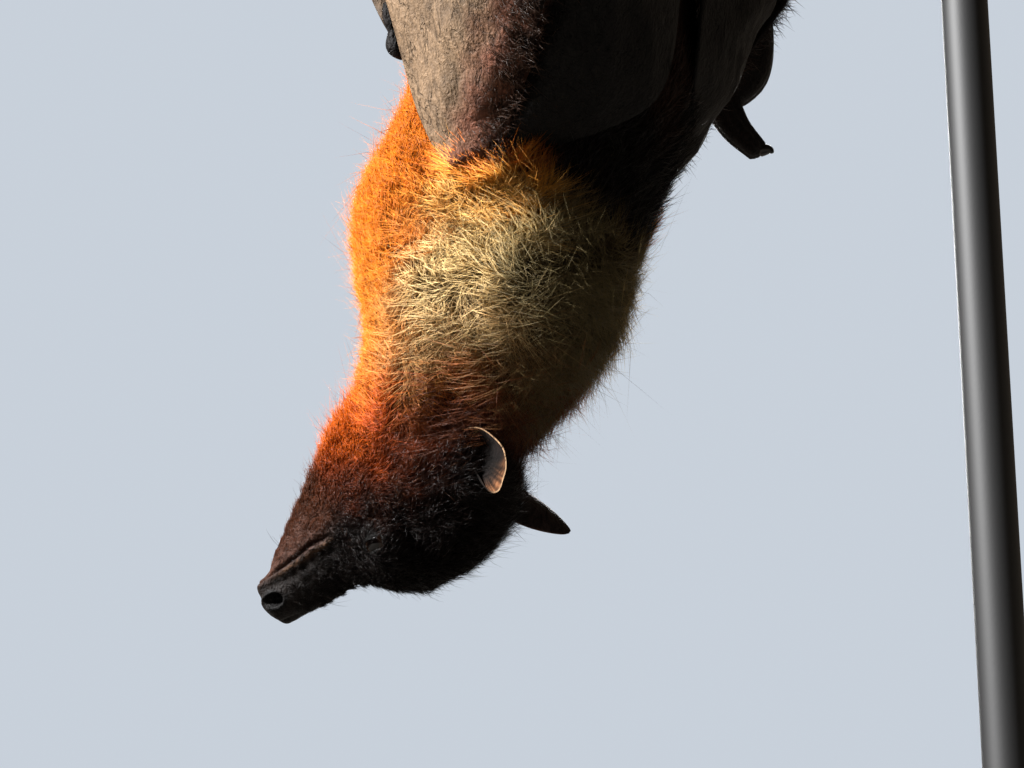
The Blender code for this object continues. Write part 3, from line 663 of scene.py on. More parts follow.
def drape(grid, start, end, steps):
    """Lifts a sheet off a bone that it crosses: no point is nearer the bone's axis than its radius.

    The distance is a smooth greatest value of the point's own and the radius there.
    """
    shares, radii = zip(*steps)
    axis = end - start
    along = ((grid - start) @ axis / (axis @ axis)).clip(0, 1)
    nearest = start + along[..., None] * axis
    away = grid - nearest
    distance = np.linalg.norm(away, axis=-1)
    radius = np.interp(along, shares, radii) * ease(along, -0.02, 0.02) + 0.2
    lifted = 0.5 * (distance + radius + np.sqrt((distance - radius) ** 2 + 1.5))
    lifted = mix(lifted, distance, ease(distance - radius, 2, 8))
    return nearest + unit(away) * lifted[..., None]


flat = sheet(((0, 0, 0), (0, 10, 0)), ((8, 0, 0), (8, 10, 0)), (0, 0, 2), 11, 9)
print("a sheet 8 by 10 mm rises by", np.ptp(flat[..., 2]).round(2), "mm")

# %% Wing membranes
# Share of the way along upper arm and forearm, and the bone's radius there.
UPPER_STEPS = ((0.0, 8), (0.16, 10.5), (0.55, 8.0), (0.85, 7.2), (1.0, 7))
FORE_STEPS = ((0.0, 7), (0.14, 7.5), (0.45, 6.2), (0.85, 4.4), (1.0, 5))
# Where the front membrane meets the furry crest of the arm, from the shoulder to the wrist.
CREST_LINE = {
    "right": (
        (38.0, 19.0, -4), (39.2, 21.5, 0.5), (42, 27, 9), (48, 36, 19.5), (53, 44, 30),
        (68, 84, 78), (76, 76, 98), (76, 20, 126), (66, -30, 152), (57, -68, 172),
    ),
    "left": (
        (36, 14, -4), (42, 26, 16), (54, 40, 46), (70, 58, 90), (76, 44, 108), (70, -10, 128),
        (60, -60, 146), (50, -108, 162),
    ),
}


def membrane_grids(side):
    """The front and flank membranes of one wing, with folds that fan out from the elbow."""
    shoulder, elbow, wrist = (mirrored(p, side) for p in (SHOULDER, ELBOW[side], WRIST[side]))
    front = sheet(
        [*mirrored(LEADING_EDGE[side], side), wrist],
        mirrored(CREST_LINE[side], side),
        mirrored((7, -3, 0), side), 76, 44,
    )
    flank = sheet(
        mirrored((*NAPE_END[side], *BACK_EDGE), side),
        [
            shoulder + (0, 10, 2), (shoulder + elbow) / 2 + (0, 3, 0), elbow,
            elbow + (wrist - elbow) * 0.33, elbow + (wrist - elbow) * 0.66, wrist + (0, 6, 2),
        ],
        mirrored((16, 10, 0), side), 84, 40,
    )
    creased = []
    for grid in (front, flank):
        grid = drape(grid, shoulder, elbow, UPPER_STEPS)
        grid = drape(grid, elbow, wrist, FORE_STEPS)
        # The creases fade toward the edges, which are held.
        inner = np.sin(np.linspace(0, 1, grid.shape[1]) * math.pi)[None] ** 0.5
        inner = inner * ease(np.linspace(0, 1, grid.shape[0]), 0.0, 0.08)[:, None]
        lift = fan_folds(grid, elbow, FOLD_RATE, FOLD_HEIGHT)
        lift = lift + 0.22 * waves(grid, 6, 41)[0] + 0.5 * waves(grid, 26, 42)[0]
        creased.append(grid + normals_of(grid) * (lift * inner)[..., None])
    return creased


SHEETS = {}
for side in SIDE_SIGN:
    SHEETS["propatagium", side], SHEETS["plagiopatagium", side] = membrane_grids(side)
print("membranes", {key: grid.shape for key, grid in SHEETS.items()})


# %% Ears
def left_ear():
    """A cupped leaf: a curled strip whose half width swells and then runs to a blunt point."""
    root = np.array(EAR_ROOT)
    axis = np.array(EAR_TIP) - root
    facing = np.array(EAR_FACING)
    facing = unit(facing - unit(axis) * (facing @ unit(axis)))
    sideways = unit(np.cross(axis, facing))
    u = np.linspace(0.0, 1.0, 44)[:, None]
    v = np.linspace(-1.0, 1.0, 36)[None, :]
    half_width = EAR_HALF_WIDTH * np.sin(np.pi * (0.2 + 0.8 * u) ** 0.85).clip(0) ** 0.7 + 0.4
    curl = np.radians(66.0 - 30.0 * u)
    cup = half_width / np.sin(curl)
    ribs = 0.10 * np.sin(u * 44) * (1 - np.abs(v)) * np.sin(np.pi * u)
    grid = (
        root
        + axis * u[..., None]
        + sideways * (cup * np.sin(curl * v))[..., None]
        + facing * (cup * (1.0 - np.cos(curl * v)) * 0.75 + ribs)[..., None]
    )
    return in_head(grid)


def closed_curve(points, count):
    """Catmull-Rom curve through points, joined end to start; the last point repeats the first."""
    points = np.asarray(points, float)
    places = np.linspace(0, len(points), count + 1)
    span = places.astype(int)
    t = (places - span)[:, None]
    a, b, c, d = (points[(span + step) % len(points)] for step in (-1, 0, 1, 2))
    return b + 0.5 * t * (c - a + t * (2 * a - 5 * b + 4 * c - d + t * (3 * b - a - 3 * c + d)))


def right_ear():
    """A wall that swells from a round root to a slanting rim, rounds it and runs back inside.

    Returns the rings and, for each, how far it is from the rim, from 0 to 1, negative inside.
    """
    rim = closed_curve(CUP_RIM, 72)
    outward = unit(rim - rim[:-1].mean(axis=0))
    root = np.array(CUP_ROOT) + outward * CUP_ROOT_RADIUS
    waist = (root + rim) / 2 + outward * CUP_BELLY
    half = CUP_HALF_THICKNESS
    steps = [(u, half) for u in np.linspace(0, 0.97, 26)]
    steps += [(1 + 0.02 * math.cos(a), half * math.sin(a)) for a in np.linspace(1.2, -1.2, 5)]
    steps += [(u, -half) for u in np.linspace(0.97, 0.16, 26)]
    turn = np.linspace(0, 2 * math.pi, len(rim))
    rings, marks = [], []
    for u, offset in steps:
        flute = 0.16 * math.sin(min(u, 1) * math.pi) * np.sin(turn * 9 + 5 * u) * (offset < 0)
        middle = (1 - u) ** 2 * root + 2 * u * (1 - u) * waist + u**2 * rim
        rings.append(middle + outward * (offset + flute)[:, None])
        marks.append((1 - u) * (1 if offset > 0 else -1))
    return in_head(np.array(rings)), np.array(marks)


SHEETS["ear", "left"] = left_ear()
RIGHT_EAR, EAR_MARKS = right_ear()
print("ears", SHEETS["ear", "left"].shape, RIGHT_EAR.shape)

# %% [markdown]
# ## Markings
# Skin and coat share one set of markings. Each is a function of the place on the body: how far round
# it from the belly, how far along it, or where it is in the head's own axes. The chest and the sides
# of the neck are bright orange, the mantle on shoulders and nape is straw, the head runs from
# red-orange through mahogany to nearly black, and the back and belly are dark brown.
# Some of the colours also carry painted light and shade, such as the olive of the nape.

# %% Where the markings lie
# Lower edge of the dark back: place round the body in degrees from the belly, and height.
MANTLE_EDGE = (
    (0, 60), (70, 40), (86, 10), (100, -3), (119, -3), (129, -5), (145, -10), (166, -17),
    (180, -17),
)
MANTLE_EDGE_WANDER = 2.2


def round_body(points):
    """Degrees round the body's bent middle line from the belly, 0 to 180 on both sides."""
    x, y, z = np.moveaxis(points, -1, 0)
    middle_x = np.interp(z, [-80, -42, 0], [6, 3, 0])
    middle_y = np.interp(z, [-80, -57, -24, 0, 13, 28, 171], [-30, -18, -10, 0, 6.5, 12.5, 13])
    return np.degrees(np.abs(np.arctan2(x - middle_x, -(y - middle_y))))


def mantle_share(points):
    """1 on the mantle and chest, 0 on the dark back and belly; the edge is softest on the chest."""
    angle = round_body(points)
    edge = np.interp(angle, *zip(*MANTLE_EDGE))
    edge = edge - 8 * ease(angle, 105, 135) * ease(-points[..., 0], 0, 15)
    edge = edge + MANTLE_EDGE_WANDER * waves(points, 14, 51)[0]
    width = mix(14.0, 3.0, ease(angle, 70, 100))
    return ease(edge - points[..., 2], -width, width)


def beyond_edge(points):
    """Degrees round the body from the right wing's leading edge, positive under the membrane."""
    edge = np.interp(points[..., 2], (-8, 2, 12, 24, 43), (101, 90, 78, 74, 69))
    return round_body(points) - edge


print("mantle's share of the body", mantle_share(BODY).mean().round(2))

# %% Colours of the coat and the skin
# The orange of chest and throat and the straw of shoulders and nape by height from the shoulders,
# and the head's colours by height in the head.
ORANGE_STOPS = (
    (-78, "#b04612"), (-66, "#c85c12"), (-50, "#d27e22"), (-20, "#cf700e"), (40, "#cc6c14"),
    (80, "#6e3614"),
)
STRAW_STOPS = (
    (-78, "#4c2410"), (-71, "#96481a"), (-64, "#bd7c3c"), (-54, "#e0c088"), (-24, "#dfbd7c"),
    (-14, "#dd9632"), (-5, "#c8660f"),
)
HEAD_STOPS = (
    (-28, "#c05a10"), (-20, "#ac4c10"), (-13, "#883812"), (-6, "#56240f"), (2, "#28130b"),
    (10, "#130c0a"),
)
# How far the dark of the head reaches up the neck below the ear, by degrees from the belly.
NECK_REACH = ((78, 0), (100, 3), (116, 6), (140, 14), (160, 15), (172, 5))


def body_tones(points):
    """Tip and root colours of the coat on trunk and neck."""
    angle = round_body(points) + 7 * waves(points, 22, 52)[0]
    height = points[..., 2] + 3 * waves(points, 12, 53)[0]
    height = height - np.interp(angle, *zip(*NECK_REACH)) * ease(-height, 30, 50)
    beside = ease(angle, 76, 108)
    straw = blend_tones(height, STRAW_STOPS)
    # Painted shade: the straw turns dark olive toward the nape, as it looks in shade away from the
    # lamp.
    straw = mix_rows(straw, linear("#665d3e"), 0.9 * ease(angle, 128, 150) * ease(height, -76, -66))
    mantle = mix_rows(blend_tones(height, ORANGE_STOPS), straw, beside)
    dark = mix_rows(linear("#341c11"), linear("#120d0b"), ease(angle, 40, 90))
    dark = mix_rows(dark, linear("#3a2216"), 0.7 * ease(angle, 158, 174) * ease(height, 0, 20))
    share = mantle_share(points)
    tip = mix_rows(dark, mantle, share)
    under = mix_rows(
        mix(mantle * 0.5, linear("#4a2c14"), 0.4), mix(mantle * 0.4, linear("#3c2b20"), 0.5), beside
    )
    root = mix_rows(dark * 0.5, under, share)
    return tip, root


def head_tones(points):
    """Tip and root colours of the coat on the head."""
    forward, left, up = np.moveaxis(from_head(points), -1, 0)
    tip = blend_tones(
        up + 0.45 * np.maximum(forward - 22, 0) + 2.0 * waves(points, 9, 54)[0], HEAD_STOPS
    )
    # Nearly black hair stands round the ears.
    ear = np.linalg.norm(np.stack((forward + 2, (np.abs(left) - 19) * 0.7, (up - 4) * 0.7)), axis=0)
    tip = mix_rows(tip, linear("#100b09"), 0.92 * ease(-ear, -13, -7))
    jaw = mix_rows(linear("#4e2917"), linear("#130d0a"), ease(up, -9, -2.5))
    tip = mix_rows(tip, jaw, ease(forward, 34, 46))
    return tip, tip * 0.45


def plain_tones(points, code):
    """One colour with soft clouds of lighter and darker."""
    cloud = 1 + 0.08 * waves(points, 18, 55)[0] + 0.05 * waves(points, 4, 56)[0]
    return linear(code) * np.clip(cloud, 0.5, 1.6)[..., None]


def behind_crest(points):
    """Millimetres behind the edge of the arm's furry crest: y less a line that rises with z."""
    slope = np.where(points[..., 0] > 0, 0.69, 0.40)
    return points[..., 1] - (21.5 + slope * points[..., 2]) + 1.6 * waves(points, 9, 57)[0]


def wing_tones(points, name):
    """Wing skin: grey-brown in front, flushed near the crest of the arm, and dark on the flank and
    the left wing, partly its own dark brown and partly painted shade.
    """
    # The flank membrane is painted nearly black: dark skin, darkened further as painted shade.
    if name == "plagiopatagium":
        return plain_tones(points, "#0f0d0c")
    behind = behind_crest(points)
    dark = plain_tones(points, "#181311")
    flush = 0.75 * ease(behind, -20, -6)
    tone = mix_rows(plain_tones(points, "#65523f"), plain_tones(points, "#66382a"), flush)
    wrists = (mirrored(WRIST[side], side) for side in SIDE_SIGN)
    wrist = min((np.linalg.norm(points - place, axis=-1) for place in wrists), key=np.min)
    tone = mix_rows(tone, dark, np.maximum(ease(behind, -6, 1), 0.8 * ease(-wrist, -26, -10)))
    # Painted shade: the left wing, away from the lamp, is darkened by six tenths toward the dark
    # tone.
    return mix_rows(tone, dark, 0.6 * (points[..., 0] < 0))


neck = np.array([[45.0, 0.0, -30.0]])
print("straw at the side of the neck", body_tones(neck)[0].round(3).tolist())

# %% [markdown]
# ## One skin
# All forms of flesh become one piece, so that it has one finish throughout. It carries its colour in
# the attribute tone. The finish is living skin: its creases and pores are bump, at the sizes that
# wing and ear skin have.


# %% Skin material
def shade_tone(tree, noise, low, high):
    """The colour in the attribute tone, times low to high as a noise goes from 0.3 to 0.7."""
    tone = add_node(tree, "ShaderNodeAttribute", {"attribute_name": "tone"})
    shade = add_node(
        tree, "ShaderNodeMapRange", {},
        {"From Min": 0.3, "From Max": 0.7, "To Min": low, "To Max": high},
        {"Value": noise.outputs["Fac"]},
    )
    return add_node(
        tree, "ShaderNodeVectorMath", {"operation": "SCALE"}, {},
        {0: tone.outputs["Color"], "Scale": shade.outputs["Result"]},
    )


def skin_material():
    """Living skin: leathery, with pores, fine creases along the elastic threads, and wrinkles."""
    material, tree, shader = new_material("bare bat skin, creased and leathery")
    place = add_node(tree, "ShaderNodeTexCoord").outputs["Object"]
    along = add_node(
        tree, "ShaderNodeMapping", {}, {"Rotation": (0.5, 0.3, 0.9), "Scale": (1, 1, 0.4)},
        {"Vector": place},
    ).outputs["Vector"]
    # Creases of a resting wing are about 1.7 mm apart, wrinkles about 11 mm, and pores 0.8 mm.
    crease = add_node(
        tree, "ShaderNodeTexNoise", {},
        {"Scale": 1 / 0.0017, "Detail": 5.0, "Roughness": 0.62, "Distortion": 0.8},
        {"Vector": along},
    )
    wander = add_node(
        tree, "ShaderNodeTexNoise", {},
        {"Scale": 1 / 0.011, "Detail": 4.0, "Roughness": 0.6, "Distortion": 0.5}, {"Vector": along},
    )
    # A wrinkle runs where the noise crosses one half.
    offset = add_node(
        tree, "ShaderNodeMath", {"operation": "SUBTRACT"}, {1: 0.5}, {0: wander.outputs["Fac"]}
    )
    away = add_node(
        tree, "ShaderNodeMath", {"operation": "ABSOLUTE"}, {}, {0: offset.outputs["Value"]}
    )
    wrinkle = add_node(
        tree, "ShaderNodeMapRange", {"interpolation_type": "SMOOTHSTEP"},
        {"From Min": 0.0, "From Max": 0.012, "To Min": 0.0, "To Max": 1.0},
        {"Value": away.outputs["Value"]},
    )
    pore = add_node(
        tree, "ShaderNodeTexVoronoi", {"feature": "F1"}, {"Scale": 1 / 0.0008}, {"Vector": place}
    )
    # The colour follows the same noise as the creases' bump: painted shade in the creases and painted
    # highlight on the grain, over the skin's own mottling.
    colour = shade_tone(tree, crease, 0.5, 1.5)
    # Painted shade: the colour darkens along the wrinkles, where their bump makes grooves.
    furrow = add_node(
        tree, "ShaderNodeMapRange", {}, {"To Min": 0.68, "To Max": 1.0},
        {"Value": wrinkle.outputs["Result"]},
    )
    lined = add_node(
        tree, "ShaderNodeVectorMath", {"operation": "SCALE"}, {},
        {0: colour.outputs["Vector"], "Scale": furrow.outputs["Result"]},
    )
    tree.links.new(lined.outputs["Vector"], shader.inputs["Base Color"])
    rough = add_node(
        tree, "ShaderNodeMapRange", {}, {"To Min": 0.72, "To Max": 0.52},
        {"Value": crease.outputs["Fac"]},
    )
    # Fine down makes the cup of the near ear matt.
    down = add_node(tree, "ShaderNodeAttribute", {"attribute_name": "down"})
    rougher = add_node(
        tree, "ShaderNodeMath", {"operation": "MAXIMUM"}, {},
        {0: rough.outputs["Result"], 1: down.outputs["Fac"]},
    )
    tree.links.new(rougher.outputs["Value"], shader.inputs["Roughness"])
    folds = add_node(
        tree, "ShaderNodeBump", {}, {"Strength": 0.7, "Distance": 0.0006},
        {"Height": wrinkle.outputs["Result"]},
    )
    bump = add_node(
        tree, "ShaderNodeBump", {}, {"Strength": 1.0, "Distance": 0.0011},
        {"Height": crease.outputs["Fac"], "Normal": folds.outputs["Normal"]},
    )
    fine = add_node(
        tree, "ShaderNodeBump", {}, {"Strength": 0.5, "Distance": 0.0003},
        {"Height": pore.outputs["Distance"], "Normal": bump.outputs["Normal"]},
    )
    tree.links.new(fine.outputs["Normal"], shader.inputs["Normal"])
    shader.inputs["Specular IOR Level"].default_value = 0.13
    return material


SKIN = skin_material()
print("material", SKIN.name)


# %% Gather forms into one mesh
class Gathering:
    """Points, faces and tones of many forms, numbered on so that they make one mesh."""

    def __init__(self):
        self.points, self.quads, self.tris, self.tones, self.count = [], [], [], [], 0

    def add(self, points, tones, quads, tris=()):
        self.points.append(points)
        self.tones.append(np.broadcast_to(tones, points.shape))
        self.quads.append(np.asarray(quads) + self.count)
        if len(tris):
            self.tris.append(np.asarray(tris) + self.count)
        self.count += len(points)

    def add_rings(self, grid, tones):
        """A closed form of rings: the doubled last column is dropped and both ends are fanned."""
        rows, columns = grid.shape[0], grid.shape[1] - 1
        ring = grid[:, :-1].reshape(-1, 3)
        poles = np.stack((grid[0, :-1].mean(0), grid[-1, :-1].mean(0)))
        tones = np.broadcast_to(tones, grid.shape)[:, :-1].reshape(-1, 3)
        near = np.arange(columns)
        beside = (near + 1) % columns
        first = np.stack((np.full(columns, rows * columns), beside, near), axis=1)
        last = (rows - 1) * columns
        second = np.stack((np.full(columns, rows * columns + 1), last + near, last + beside), axis=1)
        self.add(
            np.concatenate((ring, poles)),
            np.concatenate((tones, tones[:1], tones[-1:])),
            grid_faces(rows, columns, True),
            np.concatenate((first, second)),
        )

    def add_sheet(self, grid, half_thickness, tones):
        """A sheet with two sides and a rim of quads all the way round."""
        rows, columns = grid.shape[:2]
        sides = two_sided(grid, half_thickness)
        upper = grid_faces(rows, columns, False)
        size = rows * columns
        rim = np.concatenate(
            (
                np.arange(columns),
                np.arange(1, rows) * columns + columns - 1,
                (rows - 1) * columns + np.arange(columns - 2, -1, -1),
                np.arange(rows - 2, 0, -1) * columns,
            )
        )
        after = np.roll(rim, -1)
        wall = np.stack((after, rim, rim + size, after + size), axis=1)
        both = np.concatenate((np.broadcast_to(tones, grid.shape).reshape(-1, 3),) * 2)
        self.add(sides.reshape(-1, 3), both, np.concatenate((upper, upper[:, ::-1] + size, wall)))

    def piece(self, name, material, extra=()):
        """One object of all the forms."""
        faces = [np.concatenate(self.quads), np.concatenate(self.tris)]
        return make_piece(
            name, np.concatenate(self.points), faces, material, np.concatenate(self.tones), extra
        )


trial = Gathering()
trial.add_rings(HEAD, linear("#39231a"))
print("points of the head", trial.count)


# %% Colours of the face and the right ear
def from_eye(points):
    """Distance from the nearer cornea of places in the head's own axes."""
    corneas = (EYE_CENTRE * (1, s, 1) + eye_axes(s)[0] * EYE_RADIUS for s in (1, -1))
    return np.minimum(*(np.linalg.norm(points - cornea, axis=-1) for cornea in corneas))


def bare_face(points):
    """Bare skin of the face: tan lips along the mouth, brown chin, and nearly black pad and lids."""
    forward, left, up = np.moveaxis(from_head(points), -1, 0)
    chin, face = plain_tones(points, "#39231a"), plain_tones(points, "#15100e")
    skin = mix_rows(chin, face, ease(up, -5, -1.0))
    lips = hump(up + 1.8, 0.5) * ease(forward, MOUTH_CORNER - 6, MOUTH_CORNER)
    lips = lips * ease(-forward, -66, -58)
    skin = mix_rows(skin, plain_tones(points, "#5a402e"), 0.65 * lips)
    # Painted shade: the nostril pits are painted almost black, darker than the pad, as shade fills
    # them.
    hollows = (NOSTRIL * (1, sign, 1) for sign in (1, -1))
    away = np.minimum(*(np.linalg.norm(from_head(points) - hollow, axis=-1) for hollow in hollows))
    return mix_rows(
        skin, linear("#050404"), ease(-away, -4.2, -3.0) * ease(np.abs(left), 0.5, 1.5) * 0.9
    )


# From deep in the cup, -1, to the rim, 0: painted shade makes it darker deeper in the cup.
CUP_STREAK_AND_SHADE_STOPS = (
    (-0.9, "#0c0807"), (-0.7, "#17100b"), (-0.42, "#2b1b11"), (-0.2, "#432a19"), (0.0, "#482e1c"),
)


def right_ear_tones():
    """Painted light and shade: black deep in the cup and at its top, lit tan streaks low down, a lit
    line at the rim.
    """
    own = from_head(RIGHT_EAR)
    # Painted shade: the front of the ear, toward the muzzle, is kept dark, and only its back is
    # painted lit.
    back = ease(-own[..., 0], 4.5, 9)
    scale = np.broadcast_to(EAR_MARKS[:, None], RIGHT_EAR.shape[:2])
    turn = np.linspace(0, 2 * math.pi, RIGHT_EAR.shape[1])[None]
    streaks = 0.5 + 0.5 * np.sin(turn * 17 + 2.2 * np.sin(turn * 5) + 3 * scale)
    streaked = blend_tones(scale, CUP_STREAK_AND_SHADE_STOPS)
    # Painted light: low in the cup, where the lamp shines in, the streaks are painted about eight
    # times brighter than at the top.
    low = (RIGHT_EAR[..., 2].max() - RIGHT_EAR[..., 2]) / np.ptp(RIGHT_EAR[..., 2])
    painted_cup_light = (0.3 + 0.9 * streaks**2) * mix(0.25, 2.1, ease(low, 0.35, 1.0))
    # Where glow is 1 the cup shows its painted lit streaks, elsewhere the painted shade below.
    glow = np.maximum(back * ease(own[..., 2], 0, 9), ease(low, 0.5, 0.85))
    shaded = blend_tones(scale, ((-0.9, "#0c0908"), (-0.1, "#1d1412")))
    inner = mix_rows(shaded, streaked * painted_cup_light[..., None], glow)
    # The pale line at the rim is painted rim light; the front of the outer face is painted near black
    # as shade.
    outer = blend_tones(
        scale, ((-0.03, "#83684e"), (0.021, "#83684e"), (0.032, "#2a1e18"), (1.0, "#120e0d"))
    )
    outer = mix_rows(linear("#0e0a08") + 0 * outer, outer, back)
    return mix_rows(inner, outer, ease(scale, -0.035, -0.006))


print("right ear", right_ear_tones().shape)

# %% Join all flesh into the skin
EAR_DOWN = 0.95  # how rough the downy cup of the right ear is
flesh = Gathering()
flesh.add_rings(BODY, body_tones(BODY)[1])
own = from_head(HEAD)
face = mix_rows(head_tones(HEAD)[1], bare_face(HEAD), ease(own[..., 0], 38, 48))
# Round each eye the dark bare lids are painted still darker, close to black, as painted shade.
flesh.add_rings(HEAD, mix_rows(face, linear("#080605"), ease(-from_eye(own), -6.5, -4.5)))
LIMB_TONES = {
    "hand": "#231d1b", "thumb": "#231c1a", "wing_tip": "#171312", "finger_knob": "#120e0d",
    "thigh": "#1b1311", "shank": "#241d1b", "foot": "#241d1c",
}
TOE_TONE = "#2a2322"
for (name, side), grid in LIMBS.items():
    winged = name in ("upper_arm", "forearm")
    tones = wing_tones(grid, name) if winged else plain_tones(grid, LIMB_TONES.get(name, TOE_TONE))
    flesh.add_rings(grid, tones)
for (name, side), grid in SHEETS.items():
    if name == "ear":
        rim = ease(np.abs(np.linspace(-1, 1, grid.shape[1])), 0.86, 1.0)[None] + 0 * grid[..., 0]
        tones = mix_rows(plain_tones(grid, "#241b1a"), linear("#4c362e"), rim)
        flesh.add_sheet(grid, EAR_HALF_THICKNESS, tones)
    else:
        flesh.add_sheet(grid, WING_HALF_THICKNESS, wing_tones(grid, name))
flesh.add_rings(RIGHT_EAR, right_ear_tones())
down = [np.zeros(len(part)) for part in flesh.points]
down[-1] += EAR_DOWN
skin = flesh.piece("skin", SKIN, {"down": np.concatenate(down)})
FLESH_NODES = ["trunk", "neck", "head", "lower_jaw"] + [
    f"{name}_{side}"
    for side in SIDE_SIGN
    for name in (
        "ear", "upper_arm", "forearm", "hand", "thumb", "wing_tip",
        "propatagium", "plagiopatagium", "thigh", "shank", "foot",
    )
]
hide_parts(*FLESH_NODES)
skin.data.calc_loop_triangles()
print("skin triangles", len(skin.data.loop_triangles))

# %% [markdown]
# ## Eyes
# A flying fox has large dark brown eyes. The eyeball is a sphere whose front bulges a little more,
# as a cornea does, and its colour runs from the dark pupil through the brown iris to the brownish
# white, which the lids hide.


# %% Eyes
EYE_STOPS = (
    (0.0, "#020101"), (0.34, "#020101"), (0.40, "#0e0704"), (0.66, "#190c05"), (0.80, "#090504"),
    (1.1, "#1c1410"),
)
EYE_GRID = (40, 48)  # rings from front to back, and points round each


def eye_material():
    """A wet eye: brown under the smooth clear surface of the tear film."""
    material, tree, shader = new_material("wet eye")
    tone = add_node(tree, "ShaderNodeAttribute", {"attribute_name": "tone"})
    tree.links.new(tone.outputs["Color"], shader.inputs["Base Color"])
    shader.inputs["Roughness"].default_value = 0.08
    shader.inputs["IOR"].default_value = 1.336
    return material


EYE = eye_material()
for side, sign in SIDE_SIGN.items():
    away = np.linspace(0, math.pi, EYE_GRID[0])[:, None]
    turn = np.linspace(0, 2 * math.pi, EYE_GRID[1] + 1)[None]
    gaze, along, _ = eye_axes(-sign)
    radius = (EYE_RADIUS - 0.05) * (1 + 0.05 * np.exp(-((away / 0.55) ** 2)))
    way = (
        gaze * np.cos(away)[..., None]
        + along * (np.sin(away) * np.cos(turn))[..., None]
        + np.cross(gaze, along) * (np.sin(away) * np.sin(turn))[..., None]
    )
    grid = in_head(EYE_CENTRE * (1, -sign, 1) + way * radius[..., None])
    streak = 0.12 * np.sin(23 * turn) + 0.08 * np.sin(41 * turn + 1)
    tones = blend_tones(away + 0 * turn + 0.04 * streak, EYE_STOPS)
    ball = Gathering()
    ball.add_rings(grid[1:-1], tones[1:-1])
    eye = ball.piece("eyeball_" + side, EYE)
    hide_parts("eye_" + side)
print("eyes", len(SIDE_SIGN))

# %% [markdown]
# ## The coat
# Hair could be Blender's own curves, but those aren't kept when the model is exported. So each tuft
# is a thin solid: three-sided rings that shrink to a point along a bent line. The line starts off
# the skin at an angle and bends toward the lie of the coat. Neighbouring tufts lean toward the
# high places of a smooth noise, which gathers them into locks.

# %% Scatter roots
TUFT_RINGS = 2  # rings of most tufts, before the point
PIECE_TRIANGLES = 190000  # most triangles in one piece of the coat; a little less than one piece may have


def scatter(grid, density, seed):
    """Random roots on a grid of points: each cell gets its area times its density.

    Returns positions, normals and the two grid parameters of each root, from 0 to 1.
    """
    rng = np.random.default_rng(seed)
    corner = grid[:-1, :-1]
    along, across = grid[1:, :-1] - corner, grid[:-1, 1:] - corner
    twist = grid[1:, 1:] - grid[1:, :-1] - across
    area = np.linalg.norm(np.cross(along, across + twist * 0.5), axis=-1)
    corners = density[:-1, :-1] + density[1:, :-1] + density[:-1, 1:] + density[1:, 1:]
    weight = (area * 0.25 * corners).ravel()
    total = np.cumsum(weight)
    count = int(total[-1])
    cell = np.searchsorted(total, (np.arange(count) + rng.random(count)) * total[-1] / count)
    cell = np.minimum(cell, len(total) - 1)
    a, b = rng.random(count)[:, None], rng.random(count)[:, None]
    corner, along, across, twist = (
        field.reshape(-1, 3)[cell] for field in (corner, along, across, twist)
    )
    normal = unit(np.cross(along + twist * b, across + twist * a))
    row, column = np.divmod(cell, grid.shape[1] - 1)
    places = np.stack(
        ((row + a[:, 0]) / (grid.shape[0] - 1), (column + b[:, 0]) / (grid.shape[1] - 1)), axis=1
    )
    return corner + along * a + across * b + twist * a * b, normal, places


def pick(field, places):
    """The value of a field given on a grid at the parameters of each root."""
    row = np.minimum((places[:, 0] * (field.shape[0] - 1)).astype(int), field.shape[0] - 1)
    column = np.minimum((places[:, 1] * (field.shape[1] - 1)).astype(int), field.shape[1] - 1)
    return field[row, column]


def turned_out(normals, roots, middle):
    """The normals, each turned to the side that faces away from the form's middle."""
    return normals * np.sign((normals * (roots - middle)).sum(-1))[:, None]


print("rings of a tuft", TUFT_RINGS, "and most triangles of a piece", PIECE_TRIANGLES)


# %% Grow the lines of the tufts
def grow(
    roots, normals, lay, length, lift, width, seed,
    gather=0.0, curl=0.12, sag=0.35, rings=3, lock=5.0, unruly=0.22, guards=0.0,
):
    """Centre lines of tufts, as (tuft, ring, xyz) with the tip last, and their half widths.

    A line starts at lift radians off the skin toward lay, and bends back by sag and sideways by
    curl, both as shares of its length that grow with the square of the way along it. gather is how
    far it leans into a lock, lock the distance between locks, and unruly the spread of its
    direction. The share guards of them are guard hairs: longer, thinner and more upright.
    """
    rng = np.random.default_rng(seed)
    count = len(roots)
    guard = rng.random(count) < guards
    length, width = length * np.where(guard, 1.7, 1.0), width * np.where(guard, 0.42, 1.0)
    lift = lift + 0.3 * guard
    lay = unit(lay - normals * (lay * normals).sum(-1, keepdims=True))
    aside = np.cross(normals, lay)
    wander = (0.25 + 0.6 * curl) * waves(roots, 8, seed + 1)[0] + rng.normal(0, unruly, count)
    lay = lay * np.cos(wander)[:, None] + aside * np.sin(wander)[:, None]
    lift = np.clip(lift + rng.normal(0, 0.12 + 0.25 * unruly, count), 0.08, 1.45)[:, None]
    length = (length * rng.uniform(0.72, 1.18, count))[:, None]
    start = lay * np.cos(lift) + normals * np.sin(lift)
    slope = waves(roots, lock, seed + 2)[1]
    slope = slope - normals * (slope * normals).sum(-1, keepdims=True)
    bend = lay * sag * 0.6 - normals * sag * np.sin(lift)
    bend = bend + aside * rng.normal(0, curl, count)[:, None]
    t = np.linspace(0, 1, rings + 1)[None, :, None]
    line = roots[:, None] + length[:, None] * (start[:, None] * t + bend[:, None] * t**2)
    line = line + (slope * gather)[:, None] * t**2
    kink = aside * (rng.normal(0, curl * 0.35, count)[:, None] * length)
    line = line + kink[:, None] * np.sin(t * 2 * math.pi) * t
    return line, width * rng.uniform(0.75, 1.25, count)


